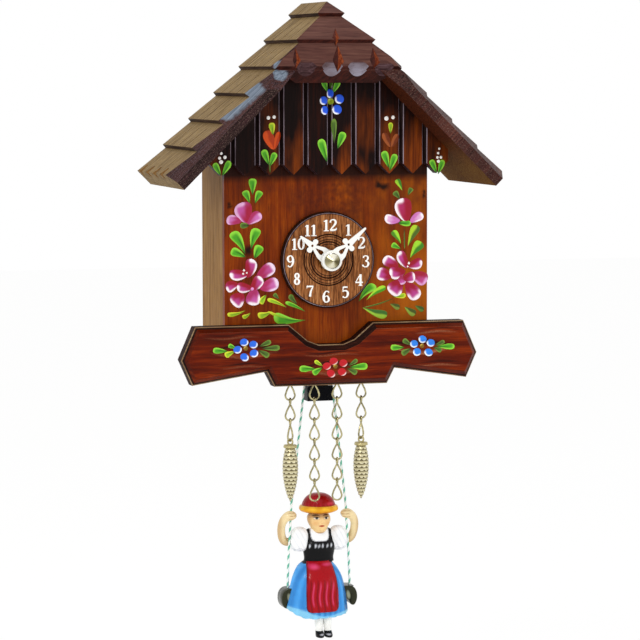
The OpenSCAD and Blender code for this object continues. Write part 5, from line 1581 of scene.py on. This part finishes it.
def puff_colour(p, r):
    # painted shade: grey in the cuff's crease and in streaks along the gathers
    hem = spot(0, p[2], 0, -116.3 + 0.3 * math.sin(p[0] * 2), 1, 0.12, 0.6)
    return mix(BLOUSE, "#8c90a0", 0.5 * hem + 0.25 * (0.5 + 0.5 * math.sin(p[0] * 3.1 + p[2] * 1.7)) ** 8)


def arm_colour(p, r):
    # painted shade between the fingers, on the arm's outer side and at its back
    x, groove = abs(p[0]), 0.0
    if x < FINGERS_X and p[2] > -105.5:
        groove = (0.5 + 0.5 * math.cos((p[2] + 103.1) * 5.4)) ** 6 * smooth(SW_Y - 0.6, SW_Y - 1.2, p[1])
    shaded_side = smooth(14.6, 16.4, x) + smooth(SW_Y - 0.3, SW_Y + 1.2, p[1])
    return mix(ARM, ARM_SHADE, max(0.8 * groove, 0.55 * min(1.0, shaded_side)))


def sleeve_and_arm(side, word):
    def puff(p, a, t, c):
        w = math.sin(math.pi * min(1, max(0, t))) ** 0.6
        folds = 0.12 * w * math.sin(7 * a + side * 3 * t * 2) + 0.06 * w * math.sin(11 * a + 5 * t)
        return push(p, c, 0.12 + folds)

    sleeve = f"doll_sleeve_{word}"
    at = side * SLEEVE_X
    lofted(sleeve + "_puffed", sleeve, "blouse_white", SLEEVE, 72, 6, cx=at, shift=puff, colour=puff_colour)
    arm, fine = Lump(), spline(ARM_PATH, 6)
    path, radii = [(side * p[0], SW_Y + p[1], p[2]) for p in fine], [p[3] * 0.99 for p in fine]
    arm.grid(sweep(path, radii, 36), caps=True, colour=arm_colour)
    wear(arm, f"doll_arm_{word}_painted", f"doll_arm_{word}", "skin")


sleeve_and_arm(-1, "left")
sleeve_and_arm(1, "right")

# Skirt: its folds as an angle in degrees and a width in radians, its rings from the hem to the waist
SKY, SKY_SHADE, SKY_LIT = "#4ca8f4", "#2060a8", "#90d4f8"
FOLDS = (
    (-78, 0.16), (-58, 0.13), (-40, 0.12), (38, 0.12), (55, 0.13), (76, 0.16), (120, 0.2), (160, 0.2),
    (-120, 0.2), (-160, 0.2), (0, 0.15), (18, 0.1), (-20, 0.1),
)
SKIRT = [
    (-3.2, 12.6, 6.2, -143.8), (-3.1, 12.7, 6.4, -141.5), (-2.9, 11.9, 6.6, -136), (-2.5, 11, 6.6, -131.5),
    (-1.8, 10, 6.2, -127.5), (-0.8, 8.2, 5.2, -124), (0, 6.1, 3.9, -121.8), (0, 5.9, 3.5, -121.2),
]
FLARE = 0.4


def fold_of(a):
    a = (a + math.pi) % (2 * math.pi) - math.pi
    return sum(math.exp(-(((a - math.radians(f)) / w) ** 2)) for f, w in FOLDS)


def hem_rise(a):
    """How far the hem is lifted at the sides."""
    return 4.2 * max(0.0, -math.sin(a)) ** 2.5 + 1.6 * max(0.0, math.sin(a)) ** 2.5


def skirt_lean(t):
    """How far the skirt leans to the left, t from 0 at the hem to 1 at the waist."""
    return -1.2 * smooth(1.0, 0.75, t) - 0.75 * smooth(0.6, 0.1, t)


def skirt_shift(p, a, t, c):
    down = 1 - t
    q = push(p, c, -0.5 * down * fold_of(a + 0.15 * math.sin(6 * t)) + FLARE * down)
    hem = smooth(0.3, 0.0, t) * (0.25 * (fold_of(a) - 0.4) + hem_rise(a) + 0.2 * math.sin(3 * a + 0.7))
    return (q[0] + skirt_lean(t), q[1], q[2] + hem)


def skirt_colour(p, r):
    x, z = p[0], p[2]
    a = math.atan2(x, -(p[1] - SW_Y + 2.8))
    if z > -122.3 - 0.5 * math.cos(a):
        return BLACK
    # painted shade in the folds and on the right side, painted highlights between the folds, darker towards
    # the waist, and a pale hem
    f = fold_of(a)
    c = mix(SKY, SKY_SHADE, 0.6 * f)
    c = mix(c, SKY_LIT, 0.55 * max(0, 0.6 - f) * (0.6 + 0.4 * math.sin(x * 2.1 + z * 0.5)))
    c = mix(c, "#143c80", smooth(-130, -122, z) * 0.25)
    c = mix(c, "#1c4470", 0.75 * smooth(7.6, 10.5, x))
    return mix(c, "#9ce0f4", 0.6 * smooth(-142.4, -143.2, z - hem_rise(a)))


lofted("doll_skirt_folded", "doll_skirt", "skirt_blue", SKIRT, 160, 8, shift=skirt_shift, colour=skirt_colour)

# Apron: a thin sheet over the skirt's front, its lower corners rounded
APRON, APRON_LIT, APRON_DARK = "#a00814", "#dc4474", "#3c0410"
APRON_TOP, APRON_L, APRON_X, CORNER_Z, CORNER_R, CLOTH_T = -121.3, 19.7, -0.8, -138.9, 2.15, 0.3
skirt_rings = spline(SKIRT, 8)


def skirt_front(x, z):
    """How far forward the skirt stands at x, z."""
    for k, (a, b) in enumerate(zip(skirt_rings, skirt_rings[1:])):
        if a[3] <= z <= b[3]:
            s = (z - a[3]) / (b[3] - a[3])
            cy, rx, ry = along(a[:3], b[:3], s)
            t = (k + s) / (len(skirt_rings) - 1)
            rx, ry = rx + FLARE * (1 - t), ry + FLARE * (1 - t)
            return SW_Y + cy - ry * math.sqrt(max(0.0, 1 - ((x - skirt_lean(t)) / rx) ** 2))
    return SW_Y - 3.7


def apron_half(j, z):
    """Half the apron's width in row j, at height z."""
    half = 5.2 + 1.6 * math.sin(min(1.0, j / 42) * math.pi / 2)
    if z < CORNER_Z:
        return half - 1.9 * (1 - math.sqrt(max(0.0, 1 - ((CORNER_Z - z) / CORNER_R) ** 2)))
    return half - 0.3 * max(0.0, 1 - j / 4)


def apron_colour(x, z, u):
    # painted highlight streaks low down and two painted highlights near the top, painted shade between the
    # streaks, darker along the sides
    phase = x * 2.3 + 0.9 * math.sin(z * 0.5)
    streak = max(0.0, math.sin(phase)) ** 5 * smooth(-128, -131, z) * smooth(-139.4, -137.4, z)
    top_gleam, knot_and_gleam = spot(x, z, -3.6, -123.2, 1.8, 0.9, 0.8), spot(x, z, 2.0, -122.6, 1.8, 0.5, 0.8)
    streak = max(streak, top_gleam, 0.8 * knot_and_gleam)
    c = mix(APRON, APRON_LIT, 0.85 * streak)
    c = mix(c, APRON_DARK, 0.55 * max(0.0, math.sin(phase + 2.6)) ** 3 * smooth(-127, -130, z))
    return mix(c, APRON_DARK, 0.75 * smooth(0.86, 1.0, abs(u)))


def doll_apron():
    rings, cs, rows, cols = [], [], 60, 40
    for j in range(rows + 1):
        z = APRON_TOP - APRON_L * j / rows
        ring = []
        for i in range(cols + 1):
            u = -1 + 2 * i / cols
            x = u * apron_half(j, z) + APRON_X
            ripple = 0.1 * math.sin(x * 2.2 + 0.12 * z) * smooth(-124, -132, z)
            thick = 0.5 * (1 - abs(u) ** 10) + 0.02
            ring.append((x, skirt_front(x, z) - thick - ripple * (1 - abs(u) ** 4) * 0.6, z))
            cs.append(apron_colour(x, z, u))
        rings.append(ring)
    lump = Lump()
    lump.grid(rings, closed=False, colour=cs)
    cloth = wear(lump, "doll_apron_draped", "doll_apron", "apron_red").modifiers.new("cloth", "SOLIDIFY")
    cloth.thickness, cloth.offset = CLOTH_T * MM, -1


doll_apron()

# Stockings and shoes
LEG_X = 1.75
STOCKING = [
    (-6.6, 1.5, 1.6, -148.9), (-6.6, 1.45, 1.5, -148), (-6.4, 1.7, 1.8, -145.6), (-6.4, 1.7, 1.8, -142.4),
]
SHOE = [
    (-7.7, 1.0, 2.2, -151.3), (-7.7, 1.5, 2.7, -151.2), (-7.7, 1.65, 2.9, -150.5), (-7.2, 1.6, 2.3, -149.5),
    (-6.6, 1.5, 1.6, -148.8),
]


def shoe_colour(p, r):
    # a painted highlight on each shoe
    return mix("#0c0c0e", "#d0d0d8", 0.6 * spot(abs(p[0]), p[2], 1.4, -150.0, 0.9, 0.3, 0.5))


legs, shoes = Lump(), Lump()
for side in (-1, 1):
    loft(legs, STOCKING, 32, 6, cx=side * LEG_X, colour="#f2f2ee")
    loft(shoes, SHOE, 40, 6, cx=side * LEG_X, colour=shoe_colour)
wear(legs, "doll_stockings", "doll_legs", "blouse_white")
wear(shoes, "doll_shoes_painted", "doll_shoes", "bodice_black")

# Floor, world and lamps
FLOOR_Z, FLOOR_SIZE, GLOW, LIT_AT = -0.285, 6, 0.85, (0, -0.03, 0)


def floor():
    """A pale floor that glows for the camera's own rays and keeps the shadow."""
    bpy.ops.mesh.primitive_plane_add(size=FLOOR_SIZE, location=(0, 0, FLOOR_Z))
    ground = bpy.context.object
    ground.name = "ground"
    t, b = new_mat("ground_pale")
    t.put(b.inputs["Base Color"], (0.9, 0.9, 0.89))
    b.inputs["Roughness"].default_value = 0.9
    glow = t.n("ShaderNodeEmission", {0: (1, 1, 1)})
    seen = t.mul(t.n("ShaderNodeLightPath").outputs["Is Camera Ray"], GLOW)
    blend = t.n("ShaderNodeMixShader", {0: seen, 1: b.outputs[0], 2: glow.outputs[0]})
    out = next(n for n in t.t.nodes if n.type == "OUTPUT_MATERIAL")
    t.put(out.inputs[0], blend.outputs[0])
    ground.data.materials.append(MATERIALS["ground_pale"])


def studio():
    world = bpy.data.worlds.new("studio")
    world.use_nodes = True
    world.node_tree.nodes["Background"].inputs["Color"].default_value = (1, 1, 1, 1)
    world.node_tree.nodes["Background"].inputs["Strength"].default_value = 1.0
    bpy.context.scene.world = world


def lamp(name, at, size, watts, tint=(1, 1, 1)):
    data = bpy.data.lights.new(name, "AREA")
    data.shape, data.size, data.energy, data.color = "DISK", size, watts, tint
    ob = bpy.data.objects.new(name, data)
    bpy.context.scene.collection.objects.link(ob)
    ob.location = at
    ob.rotation_euler = (Vector(LIT_AT) - Vector(at)).to_track_quat("-Z", "Y").to_euler()


floor()
studio()
lamp("key", (-0.55, -0.75, 0.65), 0.3, 3.0, (1.0, 0.98, 0.95))
lamp("fill", (0.75, -0.7, 0.15), 0.6, 0.8)
lamp("top", (0.05, -0.1, 0.9), 0.4, 1.5)
bpy.context.scene.view_settings.view_transform = "Standard"
